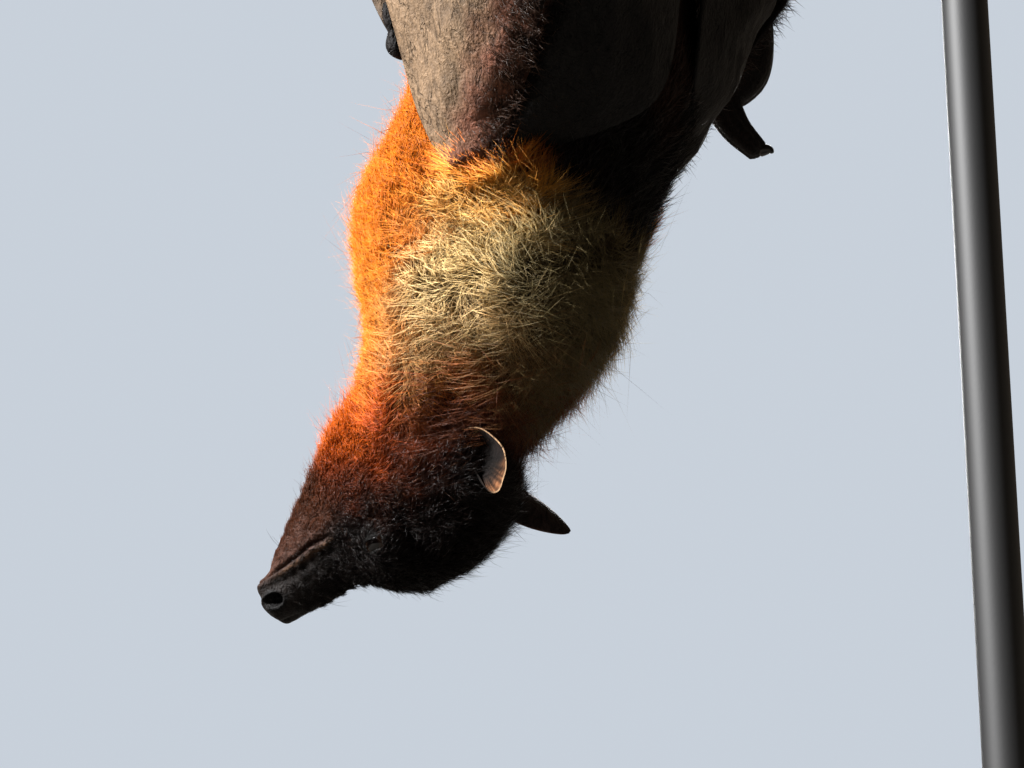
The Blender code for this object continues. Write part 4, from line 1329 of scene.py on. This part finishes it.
# %% Make the tufts solid
PATCH_SPREAD = 0.003  # side of one tuft's patch on the map


def tuft_faces(rings):
    """Faces of one tuft, and where their corners lie on a square from 0 to 1."""
    quads, quad_uv = [], []
    for ring in range(rings - 1):
        for edge in range(3):
            a, b = ring * 3 + edge, ring * 3 + (edge + 1) % 3
            quads.append((a, b, b + 3, a + 3))
            left, right, low, high = edge / 3, (edge + 1) / 3, ring / rings, (ring + 1) / rings
            quad_uv.append(((left, low), (right, low), (right, high), (left, high)))
    last, high = (rings - 1) * 3, 1 - 1 / rings
    tris, tri_uv = [(0, 2, 1)], [((0, 0), (2 / 3, 0), (1 / 3, 0))]
    for edge in range(3):
        tris.append((last + edge, last + (edge + 1) % 3, rings * 3))
        tri_uv.append(((edge / 3, high), ((edge + 1) / 3, high), ((edge + 0.5) / 3, 1)))
    return quads, tris, quad_uv, tri_uv


def tufts(lines, widths, tip, root, places, patch, seed):
    """Solid tufts round centre lines: three-sided rings that shrink to the tip.

    Colours run from root to tip. The map gives each tuft a small square at its root's place in the
    patch, which is the form's own part of the map.
    """
    rng = np.random.default_rng(seed)
    count, steps = lines.shape[:2]
    rings = steps - 1
    tangents = unit(np.gradient(lines, axis=1))
    first = unit(np.cross(tangents, unit(rng.normal(size=(count, 1, 3)))))
    second = np.cross(tangents, first)
    t = np.arange(rings) / rings
    radius = widths[:, None] * (1 - t**1.6 * 0.75)
    angles = np.arange(3) * 2 * math.pi / 3
    around = (
        first[:, :-1, None] * np.cos(angles)[None, None, :, None]
        + second[:, :-1, None] * np.sin(angles)[None, None, :, None]
    )
    ring_points = lines[:, :-1, None] + around * radius[:, :, None, None]
    size = rings * 3 + 1
    points = np.concatenate((ring_points.reshape(count, -1, 3), lines[:, -1:]), axis=1)
    shares = np.append(np.repeat(t, 3), 1.0)
    light = rng.uniform(0.78, 1.25, count)[:, None, None]
    shares = np.broadcast_to(shares**0.8, (count, size))
    tones = mix_rows(root[:, None], tip[:, None], shares) * light
    quads, tris, quad_uv, tri_uv = tuft_faces(rings)
    offset = (np.arange(count) * size)[:, None, None]
    corner = patch[:2] + places[:, ::-1] * (patch[2] - patch[0], patch[3] - patch[1])

    def on_map(shape_uv):
        small = (np.array(shape_uv).reshape(-1, 2) - 0.5) * PATCH_SPREAD
        return (corner[:, None] + small[None]).reshape(-1, 2)

    return {
        "points": points.reshape(-1, 3),
        "tones": tones.reshape(-1, 3),
        "quads": (np.array(quads)[None] + offset).reshape(-1, 4),
        "tris": (np.array(tris)[None] + offset).reshape(-1, 3),
        "quad_uv": on_map(quad_uv),
        "tri_uv": on_map(tri_uv),
    }


print("faces of one tuft", sum(map(len, tuft_faces(TUFT_RINGS)[:2])))


# %% Coat material
def coat_material(name, gloss, roughness):
    """Hair: smooth keratin, dark at the roots, with paler and thinner tips."""
    material, tree, shader = new_material(name)
    place = add_node(tree, "ShaderNodeTexCoord").outputs["Object"]
    # Hairs within a lock differ in shade over about 1.2 mm.
    speckle = add_node(
        tree, "ShaderNodeTexNoise", {}, {"Scale": 1 / 0.0012, "Detail": 2.0}, {"Vector": place}
    )
    colour = shade_tone(tree, speckle, 0.8, 1.2)
    tree.links.new(colour.outputs["Vector"], shader.inputs["Base Color"])
    shader.inputs["Roughness"].default_value = roughness
    shader.inputs["Specular IOR Level"].default_value = gloss
    return material


# Dark hair is sleek, so it glints. Straw and orange hair is softer and drier.
COATS = {
    "mantle_coat": coat_material("straw and orange bat fur, fine tapered hairs", 0.2, 0.5),
    "dark_coat": coat_material("dark bat fur, fine tapered hairs", 0.14, 0.36),
}
coat_triangles = []


def finish_coat(name, batches, slot):
    """Writes batches of tufts as one piece of the coat."""
    starts = np.cumsum([0] + [len(batch["points"]) for batch in batches])

    def joined(key):
        return np.concatenate([batch[key] for batch in batches])

    def renumbered(key):
        return np.concatenate([batch[key] + start for batch, start in zip(batches, starts)])

    quads, tris = renumbered("quads"), renumbered("tris")
    corner_uv = np.concatenate((joined("quad_uv"), joined("tri_uv")))
    obj = make_piece(
        name, joined("points"), [quads, tris], COATS[slot], joined("tones"), corner_uv=corner_uv
    )
    coat_triangles.append(len(quads) * 2 + len(tris))
    print(name, coat_triangles[-1], "triangles")


def write_coat(name, grown, patch, slot, seed, extra=()):
    """Writes tufts in pieces small enough, in the order of their rows; extra joins the first."""
    line, widths, tip, root, places = grown
    quads, tris = tuft_faces(line.shape[1] - 1)[:2]
    order = np.argsort(places[:, 0], kind="stable")
    pieces = math.ceil(len(order) * (len(quads) * 2 + len(tris)) / PIECE_TRIANGLES)
    for number, chosen in enumerate(np.array_split(order, pieces)):
        own = (field[chosen] for field in (line, widths, tip, root, places))
        batch = tufts(*own, patch, seed + number)
        finish_coat(f"coat_{name}_{number + 1}", [batch, *(() if number else extra)], slot)


print("coat materials", [material.name for material in COATS.values()])

# %% [markdown]
# ## Trunk and neck
# The fur of the back lies toward the rump. On the sides of the neck it parts: above the parting it
# points up to the rump, and below it down to the head, so the mantle looks tousled. A fringe of
# longer tufts stands out from the shoulder over the edge of the wing. Few tufts grow where the
# folded wings hide the body.

# %% Coat of the trunk and neck
PATCH_BODY = np.array((0.01, 0.01, 0.99, 0.40))
MANTLE_DENSITY, TRUNK_DENSITY = 3.4, 0.95  # tufts to a square millimetre
MANTLE_SEED, TRUNK_SEED = 100, 200
# Height of the parting, by degrees round the body from the belly.
PARTING = ((85, -36), (110, -42), (133, -40), (152, -27), (180, -16))


def body_lay(points):
    """The lie of the coat: toward the rump, and below the parting toward the head.

    Between the two it turns by way of the belly.
    """
    angle = round_body(points)
    parting = np.interp(angle, *zip(*PARTING))
    parting = parting + 5 * waves(points, 18, 61)[0] + 2 * waves(points, 6, 62)[0]
    fall = ease(angle, 80, 100) * ease(parting - points[..., 2], -10, 10)
    turn = math.pi * fall + 0.45 * waves(points, 11, 63)[0]
    side = np.where(points[..., 0] > 0, 1.0, -1.0)
    belly = unit(np.stack((side * points[..., 1], -side * points[..., 0], 0 * fall), -1))
    return np.array((0, 0, 1.0)) * np.cos(turn)[..., None] + belly * np.sin(turn)[..., None]


def body_roots(density, seed):
    """Roots, normals, places, depth of the coat and the lie of it on trunk and neck."""
    roots, normals, places = scatter(BODY, density, seed)
    middle_y = np.interp(roots[:, 2], [-80, 0, 171], [-25, 5, 13])
    middle = np.stack((0 * roots[:, 0], middle_y, roots[:, 2]), 1)
    normals = turned_out(normals, roots, middle)
    return roots, normals, places, pick(BODY_COAT, places), body_lay(roots)


def grow_mantle():
    """Lines, widths, tones and places of the straw and orange tufts."""
    angle, height = round_body(BODY), BODY[..., 2]
    # Gaps between the locks of the mantle show the dark under-fur.
    gaps = ease(waves(BODY, 7, 64)[0], 1.0, 1.6) * ease(angle, 112, 130)
    fringe = ease(height, -15, -8) * ease(angle, 92, 104)
    # The front membrane lies on the coat, and nothing stands under it.
    covered = ease(beyond_edge(BODY), 1, 5) * ease(height, -7, -4) * (BODY[..., 0] > 0)
    share = mantle_share(BODY) * (1 - covered)
    density = MANTLE_DENSITY * share * mix(1.0, 0.8, BODY[..., 0] < 0)
    density = density * (1 - 0.85 * gaps) * (1 + 1.2 * fringe)
    roots, normals, places, depth, lay = body_roots(density, MANTLE_SEED)
    angle, height = round_body(roots), roots[:, 2]
    fringe = ease(height, -17, -9) * ease(angle, 92, 106)
    nape = ease(angle, 128, 146) * ease(-height, 14, 26)
    beside = hump(beyond_edge(roots) + 3, 9) * ease(height, -16, -10) * (roots[:, 0] > 0)
    line, widths = grow(
        roots, normals, lay,
        length=depth * (mix(1.55, 2.05, fringe) + 0.7 * nape) * (1 - 0.4 * beside),
        lift=(mix(0.72, 0.74, fringe) + 0.12 * nape) * (1 - 0.6 * beside),
        width=mix(0.125, 0.17, fringe) - 0.02 * nape,
        seed=MANTLE_SEED,
        gather=mix(1.7, 2.8, fringe)[:, None],
        curl=mix(0.7, 0.16, fringe), sag=0.3, rings=TUFT_RINGS, lock=4.5,
        unruly=mix(0.42, 0.24, fringe), guards=0.025,
    )
    return line, widths, *body_tones(roots), places


def grow_trunk():
    """Lines, widths, tones and places of the dark tufts of back and belly."""
    hidden = ease(round_body(BODY), 108, 124) * ease(BODY[..., 2], 22, 40)
    density = TRUNK_DENSITY * (1 - mantle_share(BODY)) * (1 - 0.95 * hidden)
    roots, normals, places, depth, lay = body_roots(density, TRUNK_SEED)
    line, widths = grow(
        roots, normals, lay, length=depth * 2.1, lift=0.36, width=0.17, seed=TRUNK_SEED,
        gather=0.8, sag=0.3, rings=TUFT_RINGS, guards=0.05,
    )
    return line, widths, *body_tones(roots), places


write_coat("mantle", grow_mantle(), PATCH_BODY, "mantle_coat", 300)
write_coat("trunk", grow_trunk(), PATCH_BODY, "dark_coat", 300)

# %% [markdown]
# ## Head
# The face has the shortest and densest fur. It lies back from the nose, lengthens over the cheeks
# and stands off shaggily at the throat and before the ears. Lips, nose pad and lids are bare.

# %% Coat of the head
PATCH_HEAD = np.array((0.01, 0.43, 0.55, 0.80))
HEAD_DENSITY, MUZZLE_DENSITY, WHISKER_DENSITY = 3.7, 7.0, 0.03  # tufts to a square millimetre
HEAD_SEED, WHISKER_SEED, WHISKER_LENGTH = 400, 430, 8.5


def before_ear(forward, left, up):
    """Millimetres from the tuft of longer hair that stands before each ear."""
    return np.linalg.norm(np.stack((forward - 1, np.abs(left) - 17, (up - 5) * 0.6)), axis=0)


def head_roots(density, seed):
    """Roots, normals turned away from the head's own middle line, and places."""
    roots, normals, places = scatter(HEAD, density, seed)
    middle = HEAD_ORIGIN + HEAD_AXES[0] * from_head(roots)[:, :1] + HEAD_AXES[2] * -6.0
    return roots, turned_out(normals, roots, middle), places


def grow_head():
    """The head's coat: lies back from the nose, shortest on the muzzle, shaggy at the throat."""
    own = from_head(HEAD)
    forward, left, up = np.moveaxis(own, -1, 0)
    density = mix(HEAD_DENSITY, MUZZLE_DENSITY, ease(forward, 30, 50))
    density = density * ease(-forward, -66, -60) * ease(from_eye(own), 2.3, 3.1)
    lips = ease(forward, MOUTH_CORNER - 3, MOUTH_CORNER + 2) * hump(up + 2.5, 1.3)
    density = density * (1 - 0.9 * lips) + 4 * hump(before_ear(forward, left, up), 5)
    roots, normals, places = head_roots(density, HEAD_SEED)
    forward, left, up = from_head(roots).T
    throat, tufted = ease(-up, 10, 24), hump(before_ear(forward, left, up), 6)
    length = np.maximum(pick(HEAD_COAT, places) * 1.9, np.interp(forward, [38, 62], [1.7, 0.8]))
    line, widths = grow(
        roots, normals, np.broadcast_to(-HEAD_AXES[0], roots.shape),
        length=length + 4.5 * tufted,
        lift=mix(0.42, 0.95, throat) - 0.15 * ease(forward, 36, 50) + 0.55 * tufted,
        width=np.interp(forward, [0, 30, 46, 62], [0.13, 0.11, 0.075, 0.05]),
        seed=HEAD_SEED + 1,
        gather=0.7, curl=0.26, sag=0.3, rings=TUFT_RINGS, lock=4.0, unruly=0.36, guards=0.06,
    )
    tip, root = head_tones(roots)
    # A few hair tips are paler, and only on the lower side of the head that the lamp lights: partly
    # paler hairs, partly painted highlight.
    pale_lit_tips = np.random.default_rng(HEAD_SEED + 2).random(len(roots)) < 0.06
    pale_lit_tips = pale_lit_tips * ease(-forward, -46, -30) * ease(-up, -7, 2)
    return line, widths, mix_rows(tip, linear("#84573a"), 0.4 * pale_lit_tips), root, places


def grow_whiskers():
    """Long fine single hairs on muzzle, chin and brow, as a batch of tufts."""
    forward, _, up = np.moveaxis(from_head(HEAD), -1, 0)
    density = WHISKER_DENSITY * ease(forward, 42, 50) * ease(-forward, -66, -60)
    density = density + 0.02 * hump(forward - 34, 3) * ease(up, 8, 14)
    roots, normals, places = head_roots(density, WHISKER_SEED)
    line, widths = grow(
        roots, normals, np.broadcast_to(-HEAD_AXES[0], roots.shape),
        length=np.full(len(roots), WHISKER_LENGTH), lift=1.0, width=0.045, seed=WHISKER_SEED + 1,
        gather=0, curl=0.2, sag=0.2, rings=4,
    )
    tone = np.broadcast_to(linear("#1c1613"), roots.shape)
    return tufts(line, widths, tone, tone, places, PATCH_HEAD, WHISKER_SEED + 2)


write_coat("head", grow_head(), PATCH_HEAD, "dark_coat", 420, [grow_whiskers()])

# %% [markdown]
# ## Arms, thighs and the edge of the wings
# Wings are nearly bare, but a crest of dark curled fur runs along the back of the arm and on over
# the skin of both membranes for some millimetres. The thighs are furred, and the shanks aren't.

# %% Coat of arms and thighs
# Each form's own part of the coat's map: left, bottom, right and top.
LIMB_PATCHES = {
    ("upper_arm", "right"): (0.58, 0.43, 0.76, 0.58),
    ("upper_arm", "left"): (0.79, 0.43, 0.97, 0.58),
    ("thigh", "right"): (0.58, 0.62, 0.76, 0.77),
    ("thigh", "left"): (0.79, 0.62, 0.97, 0.77),
    ("forearm", "right"): (0.01, 0.83, 0.40, 0.98),
    ("forearm", "left"): (0.43, 0.83, 0.82, 0.98),
}
WING_PATCHES = {
    ("propatagium", "right"): (0.85, 0.83, 0.91, 0.98),
    ("propatagium", "left"): (0.93, 0.83, 0.99, 0.98),
    ("plagiopatagium", "right"): (0.58, 0.79, 0.76, 0.82),
    ("plagiopatagium", "left"): (0.79, 0.79, 0.97, 0.82),
}
ROOT_SEED, LINE_SEED, TUFT_SEED = 500, 520, 540
LIMB_RINGS = 3


def limb_coat(number, grid, patch, density, lay, length, lift, width, code, unruly=0.3, curl=0.3):
    """Tufts of one colour on a limb, as a batch, or none where the density leaves no root."""
    roots, normals, places = scatter(grid, density, ROOT_SEED + number)
    if not len(roots):
        return []
    middle = pick(np.broadcast_to(grid[:, :-1].mean(1)[:, None], grid.shape), places)
    line, widths = grow(
        roots, turned_out(normals, roots, middle), np.broadcast_to(lay, roots.shape),
        np.full(len(roots), length), lift, width, LINE_SEED + number,
        gather=0.8, curl=curl, sag=0.3, rings=LIMB_RINGS, lock=4.0, unruly=unruly, guards=0.05,
    )
    tone = plain_tones(roots, code)
    return [tufts(line, widths, tone, tone * 0.4, places, np.array(patch), TUFT_SEED + number)]


def wing_coat(number, grid, patch, density, side):
    """Short dark curled hairs on the outer face of a membrane, longer toward the arm's crest."""
    roots, normals, places = scatter(grid, density, ROOT_SEED + number)
    behind = behind_crest(roots)
    lay = np.broadcast_to((0.2 * side, 0.6, 0.2), roots.shape)
    line, widths = grow(
        roots, turned_out(normals, roots, (0, 13, 40)), lay,
        mix(2.6, 5.6, ease(behind, -9, -1)), 0.75, 0.12, LINE_SEED + number,
        gather=0.8, curl=0.5, sag=0.3, rings=LIMB_RINGS, lock=4.0, unruly=0.9,
    )
    crest = ease(behind, -4, 6)
    tone = mix_rows(plain_tones(roots, "#3c2a20"), plain_tones(roots, "#201713"), crest)
    return [tufts(line, widths, tone, tone * 0.35, places, np.array(patch), TUFT_SEED + number)]


batches = []
for number, (key, patch) in enumerate(LIMB_PATCHES.items()):
    grid = LIMBS[key]
    along = unit(grid[-4, 0] - grid[3, 0])
    if key[0] == "thigh":
        density, lay = 0.6 + 0 * grid[..., 0], along * 0.4 + (0, 0, 0.8)
        batches += limb_coat(number, grid, patch, density, lay, 4.6, 0.6, 0.15, "#2a1c15")
        continue
    bare = 0.0
    if key[0] == "forearm":
        bare = ease(np.linspace(0, 1, grid.shape[0]), 0.35, 0.7)[:, None]
    density, lay = 1.05 * (1 - bare) * ease(behind_crest(grid), -3, 2), along * 0.4 + (0, 0.6, 0.3)
    batches += limb_coat(number, grid, patch, density, lay, 5.0, 0.7, 0.13, "#241915", 0.8, 0.5)
for number, (key, patch) in enumerate(WING_PATCHES.items(), len(LIMB_PATCHES)):
    grid = SHEETS[key]
    down = np.linspace(0, 1, grid.shape[0])[:, None]
    across = np.linspace(0, 1, grid.shape[1])[None]
    if key[0] == "propatagium":
        density = 2.4 * (ease(behind_crest(grid), -13, -1) ** 1.5 * ease(across, 0.4, 0.8))
    else:
        density = 0.7 * ease(across, 0.72, 0.97)
    density = density * ease(-down, -0.5, -0.3)
    batches += wing_coat(number, grid, patch, density, SIDE_SIGN[key[1]])
finish_coat("coat_limbs", batches, "dark_coat")
print("coat triangles", sum(coat_triangles))

# %% [markdown]
# ## Branch
# The perch is a cut length of branch with dry bark. Long cracks run along it where a noise crosses
# zero, and its sawn ends show paler wood with growth rings.

# %% Branch
PERCH_GRID = (220, 128)  # rings, and points round each
CRACK_STRETCH = 0.22  # the noise of the bark is drawn out along the branch by this share
END_RINGS = (0.97, 0.80, 0.62, 0.45, 0.28, 0.12)
END_TONES = ("#654d30", "#7c6240")


def perch_rings():
    """Rings along x whose radius swells twice, less the cracks of the bark; and their colours."""
    t = np.linspace(0, 1, PERCH_GRID[0])[:, None]
    turn = np.linspace(0, 2 * math.pi, PERCH_GRID[1] + 1)[None]
    swell = PERCH_RADIUS * (1 - 0.07 * (1 + np.cos(4 * math.pi * t) * 0.5))
    along = (t - 0.5) * PERCH_LENGTH * CRACK_STRETCH
    place = np.stack(
        np.broadcast_arrays(along, PERCH_RADIUS * np.cos(turn), PERCH_RADIUS * np.sin(turn)), -1
    )
    crack = 1 - np.abs(waves(place, 4.2, 71)[0]).clip(0, 1)
    radius = swell - 0.25 - 0.75 * crack**3 - 0.18 * (waves(place, 1.6, 72)[0] + 1).clip(0, 2)
    x = (t - 0.5) * PERCH_LENGTH + 0 * turn
    rings = np.stack(
        (x, PERCH_AXIS[0] + radius * np.cos(turn), PERCH_AXIS[1] + radius * np.sin(turn)), axis=-1
    )
    bark = mix_rows(linear("#54473a") + 0 * rings, linear("#211a15"), crack**2)
    bark = bark * (1 + 0.12 * waves(place, 9, 73)[0])[..., None]
    middle = np.array((0, *PERCH_AXIS))
    ends, marks = [], []
    for number, share in enumerate(END_RINGS):
        ends.append((rings[[0, -1]] - middle) * np.array((1, share, share)) + middle)
        marks.append(linear(END_TONES[number % 2]) + 0 * ends[-1])
    grid = np.concatenate(([e[0] for e in ends[::-1]], rings, [e[1] for e in ends]))
    tones = np.concatenate(([m[0] for m in marks[::-1]], bark, [m[1] for m in marks]))
    return grid, tones


def toned_material(name, size, low, high, roughness, depth):
    """A finish whose colour is the tone attribute, shaded by a noise that is also its bump.

    size and depth are the noise's grain and relief in metres.
    """
    material, tree, shader = new_material(name)
    place = add_node(tree, "ShaderNodeTexCoord").outputs["Object"]
    grain = add_node(
        tree, "ShaderNodeTexNoise", {}, {"Scale": 1 / size, "Detail": 6.0, "Roughness": 0.65},
        {"Vector": place},
    )
    colour = shade_tone(tree, grain, low, high)
    tree.links.new(colour.outputs["Vector"], shader.inputs["Base Color"])
    bump = add_node(
        tree, "ShaderNodeBump", {}, {"Strength": 0.7, "Distance": depth},
        {"Height": grain.outputs["Fac"]},
    )
    tree.links.new(bump.outputs["Normal"], shader.inputs["Normal"])
    shader.inputs["Roughness"].default_value = roughness
    return material


branch = Gathering()
branch.add_rings(*perch_rings())
# Flakes of bark are about 1.6 mm across and stand up by half a millimetre.
BARK = toned_material("dry cracked bark", 0.0016, 0.7, 1.3, 0.85, 0.0005)
perch = branch.piece("branch", BARK)
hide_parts("perch")
print("branch points", branch.count)

# %% [markdown]
# ## Claws
# A claw is a curved cone of horn. Each is a tube whose radius shrinks along its bend, black at the
# tip and browner at the root.

# %% Claws
CLAW_ROWS = {
    ("thumb_claw", "right"): (
        (55, -95, 126.5, 2.6), (55, -94, 120, 2.0), (55, -89, 114, 1.2), (55, -84, 112, 0.5),
    ),
    ("thumb_claw", "left"): (
        (8.5, -127, 144, 2.6), (3, -125, 143, 2.0), (-2, -120, 141, 1.2), (-3, -115, 139, 0.5),
    ),
    ("index_claw", "right"): (
        (90, 20, 131, 1.3), (94, 18, 128, 1.3), (97, 17, 123, 1.0), (97, 18, 118, 0.5),
    ),
    ("index_claw", "left"): (
        (79.6, 35, 31.6, 2.0), (80, 36.6, 31.6, 1.7), (80.2, 37.9, 31.2, 1.2),
        (80.2, 38.7, 30.4, 0.6),
    ),
}
# A toe's claw: degrees beyond the toe's end, rise off the toe's path, and radius.
TOE_CLAW_BENDS = ((3, 0.2, 1.7), (22, 0.9, 1.5), (42, 0.4, 1.0), (60, -1.2, 0.45))
CLAW_STOPS = ((0.0, "#2c211a"), (0.4, "#15100d"), (1.0, "#0b0908"))
claws, claw_nodes = Gathering(), []
for side in SIDE_SIGN:
    rows = {f"{name}_{side}": CLAW_ROWS[name, side] for name in ("thumb_claw", "index_claw")}
    for number in range(5):
        spread = number - 2
        x = ANKLE[0] + spread * TOE_SPACING
        rows[f"toe_claw_{side}_{number + 1}"] = tuple(
            (*around_perch(x, toe_end(spread) + step, TOE_DISTANCE + rise), radius)
            for step, rise, radius in TOE_CLAW_BENDS
        )
    for name, row in rows.items():
        grid = tube(mirrored_rows(row, side), 24, 20)
        share = np.linspace(0, 1, len(grid))[:, None] + 0 * grid[..., 0]
        claws.add_rings(grid, blend_tones(share, CLAW_STOPS))
        claw_nodes.append(name)
# Horn is polished by use, with grain too fine to see but for a slight cloudiness.
HORN = toned_material("smooth black horn", 0.0009, 0.85, 1.15, 0.32, 0.00005)
piece = claws.piece("claws", HORN)
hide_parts(*claw_nodes)
print("claws", len(claw_nodes))

# %% [markdown]
# ## Stand
# The stand is plain, so that the eye stays on the bat: a round steel upright, an arm and a collar
# round the branch, all in satin black paint, and a black lacquered wooden base. The base keeps its
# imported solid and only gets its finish.

# %% Stand
ROD_RADIUS, ROD_Y, BASE_TOP = 6.0, 95, 14.0  # on the floor, from the middle of the base
ARM_RADIUS, ARM_ENDS = ROD_RADIUS * 0.8 - 0.05, (12.6, 136)
# Half of the collar's section, from end to end: along the branch, and from its axis.
COLLAR_PROFILE = ((-9.0, 12.2), (-9.0, 13.3), (-8.2, 14.1), (8.2, 14.1), (9.0, 13.3), (9.0, 12.2))
STAND_PAINT = toned_material("satin black paint on steel", 0.0008, 0.96, 1.04, 0.6, 0.00003)


def on_floor(x, y, z):
    """A place measured in millimetres from the middle of the base, as one from the shoulders."""
    return np.array((x, y, z)) - SHOULDERS / MM


def stand_piece(name, grid, node):
    """One turned piece of the stand that takes the place of its plainer solid."""
    gathered = Gathering()
    gathered.add_rings(grid, linear("#141415"))
    obj = gathered.piece(name, STAND_PAINT)
    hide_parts(node)


top = SHOULDERS[2] / MM + PERCH_AXIS[1] + ROD_RADIUS + 3
rod = [(*on_floor(0, ROD_Y, z), ROD_RADIUS - 0.04) for z in np.linspace(BASE_TOP + 0.4, top, 5)]
stand_piece("rod", tube(rod, 40, 64), "stand_upright")
arm = [(0, y, PERCH_AXIS[1], ARM_RADIUS) for y in np.linspace(*ARM_ENDS, 5)]
stand_piece("arm", tube(arm, 20, 48), "stand_arm")
turn = np.linspace(0, 2 * math.pi, 97)
collar = [
    np.stack((0 * turn + x, PERCH_AXIS[0] + r * np.cos(turn), PERCH_AXIS[1] + r * np.sin(turn)), -1)
    for x, r in COLLAR_PROFILE
]
stand_piece("collar", np.array(collar), "stand_collar")


def lacquer_material():
    """Satin black lacquer over close-grained wood, with faint lengthwise pores."""
    material, tree, shader = new_material("black lacquered wood")
    place = add_node(tree, "ShaderNodeTexCoord").outputs["Object"]
    grained = add_node(tree, "ShaderNodeMapping", {}, {"Scale": (1, 0.08, 1)}, {"Vector": place})
    # Pores of the wood are about 1.4 mm apart across the grain.
    pores = add_node(
        tree, "ShaderNodeTexNoise", {}, {"Scale": 1 / 0.0014, "Detail": 3.0},
        {"Vector": grained.outputs["Vector"]},
    )
    tint = add_node(tree, "ShaderNodeValToRGB", {}, {}, {"Fac": pores.outputs["Fac"]})
    tint.color_ramp.elements[0].color = (*linear("#0d0c0c"), 1)
    tint.color_ramp.elements[1].color = (*linear("#1f1c1a"), 1)
    tree.links.new(tint.outputs["Color"], shader.inputs["Base Color"])
    bump = add_node(
        tree, "ShaderNodeBump", {}, {"Strength": 0.25, "Distance": 0.0001},
        {"Height": pores.outputs["Fac"]},
    )
    tree.links.new(bump.outputs["Normal"], shader.inputs["Normal"])
    shader.inputs["Roughness"].default_value = 0.6
    shader.inputs["Specular IOR Level"].default_value = 0.3
    return material


base = bpy.data.objects["stand_base"]
base.data.materials.clear()
base.data.materials.append(lacquer_material())
print("stand top", round(top, 1), "mm above the floor")

# %% [markdown]
# ## Floor, light and camera
# The stand is on a plain floor of matt paint. One soft lamp stands well to one side, so that the
# far side of the bat falls into shade, and the pale surroundings fill that shade a little. A
# larger, weaker lamp stands opposite, behind the bat, so that its dark back can be seen from there.

# %% Floor
FLOOR_SIDE = 3.2  # metres, as all of the room is
material, tree, shader = new_material("matt grey floor paint")
shader.inputs["Base Color"].default_value = (*linear("#615d57"), 1)
shader.inputs["Roughness"].default_value = 0.9
shader.inputs["Specular IOR Level"].default_value = 0.1
bpy.ops.mesh.primitive_plane_add(size=FLOOR_SIDE)
floor = bpy.context.object
floor.name = "floor"
floor.data.materials.append(material)
print("floor", FLOOR_SIDE, "m square")

# %% Room
# The backdrop looks pale, but lights the bat only a little, and mostly from behind its back, so
# that the lamp's shade stays deep. Light that bounces in the room is warm.
BACKDROP, BOUNCE = "#dde6f1", "#ffe9d0"
SEEN_STRENGTH, LEAST_STRENGTH, BACK_STRENGTH = 0.80, 0.030, 0.26
BACK_WAY = (-0.94, 0.34, 0.0)
world = bpy.data.worlds.new("pale room")
bpy.context.scene.world = world
world.use_nodes = True
tree = world.node_tree
way = add_node(tree, "ShaderNodeTexCoord").outputs["Generated"]
behind = add_node(
    tree, "ShaderNodeVectorMath", {"operation": "DOT_PRODUCT"}, {1: BACK_WAY}, {0: way}
)
glow = add_node(
    tree, "ShaderNodeMapRange", {"interpolation_type": "SMOOTHSTEP"},
    {"From Min": 0.0, "From Max": 1.0, "To Min": LEAST_STRENGTH, "To Max": BACK_STRENGTH},
    {"Value": behind.outputs["Value"]},
)
seen = add_node(tree, "ShaderNodeLightPath").outputs["Is Camera Ray"]
strength = add_node(
    tree, "ShaderNodeMapRange", {}, {"To Max": SEEN_STRENGTH},
    {"Value": seen, "To Min": glow.outputs["Result"]},
)
# The Mix node has a set of sockets for each type: 6 and 7 are its two colours, and 2 is the result.
hue = add_node(
    tree, "ShaderNodeMix", {"data_type": "RGBA"},
    {6: (*linear(BOUNCE), 1), 7: (*linear(BACKDROP), 1)}, {0: seen},
)
background = tree.nodes["Background"]
tree.links.new(hue.outputs[2], background.inputs["Color"])
tree.links.new(strength.outputs["Result"], background.inputs["Strength"])
bpy.context.scene.view_settings.view_transform = "Standard"
print("room nodes", len(tree.nodes))

# %% Lamps and camera
AIM = np.array((-0.0105, -0.0563, 0.2373))


def stand_facing(name, data, azimuth, elevation, distance):
    """Stands a lamp or a camera at an azimuth and elevation from the bat, and turns it to it."""
    turn, rise = math.radians(azimuth), math.radians(elevation)
    level = math.cos(rise)
    way = np.array((math.sin(turn) * level, -math.cos(turn) * level, math.sin(rise)))
    obj = bpy.data.objects.new(name, data)
    bpy.context.scene.collection.objects.link(obj)
    obj.location = AIM + way * distance
    obj.rotation_euler = (math.pi / 2 - rise, 0, turn)
    return obj


# Name, azimuth, elevation, distance and size in metres, and power in watts.
LAMPS = (("key", 60, 30, 1.6, 0.30, 128), ("back", 304, 25, 1.8, 0.9, 72))
for name, azimuth, elevation, distance, size, power in LAMPS:
    data = bpy.data.lights.new(name, "AREA")
    data.size, data.energy = size, power
    stand_facing(name, data, azimuth, elevation, distance)
camera_data = bpy.data.cameras.new("camera")
camera_data.sensor_width, camera_data.lens = 36, 84.9
camera = stand_facing("camera", camera_data, 125, -16, 0.70)
bpy.context.scene.camera = camera
print("camera", [round(v, 4) for v in camera.location])
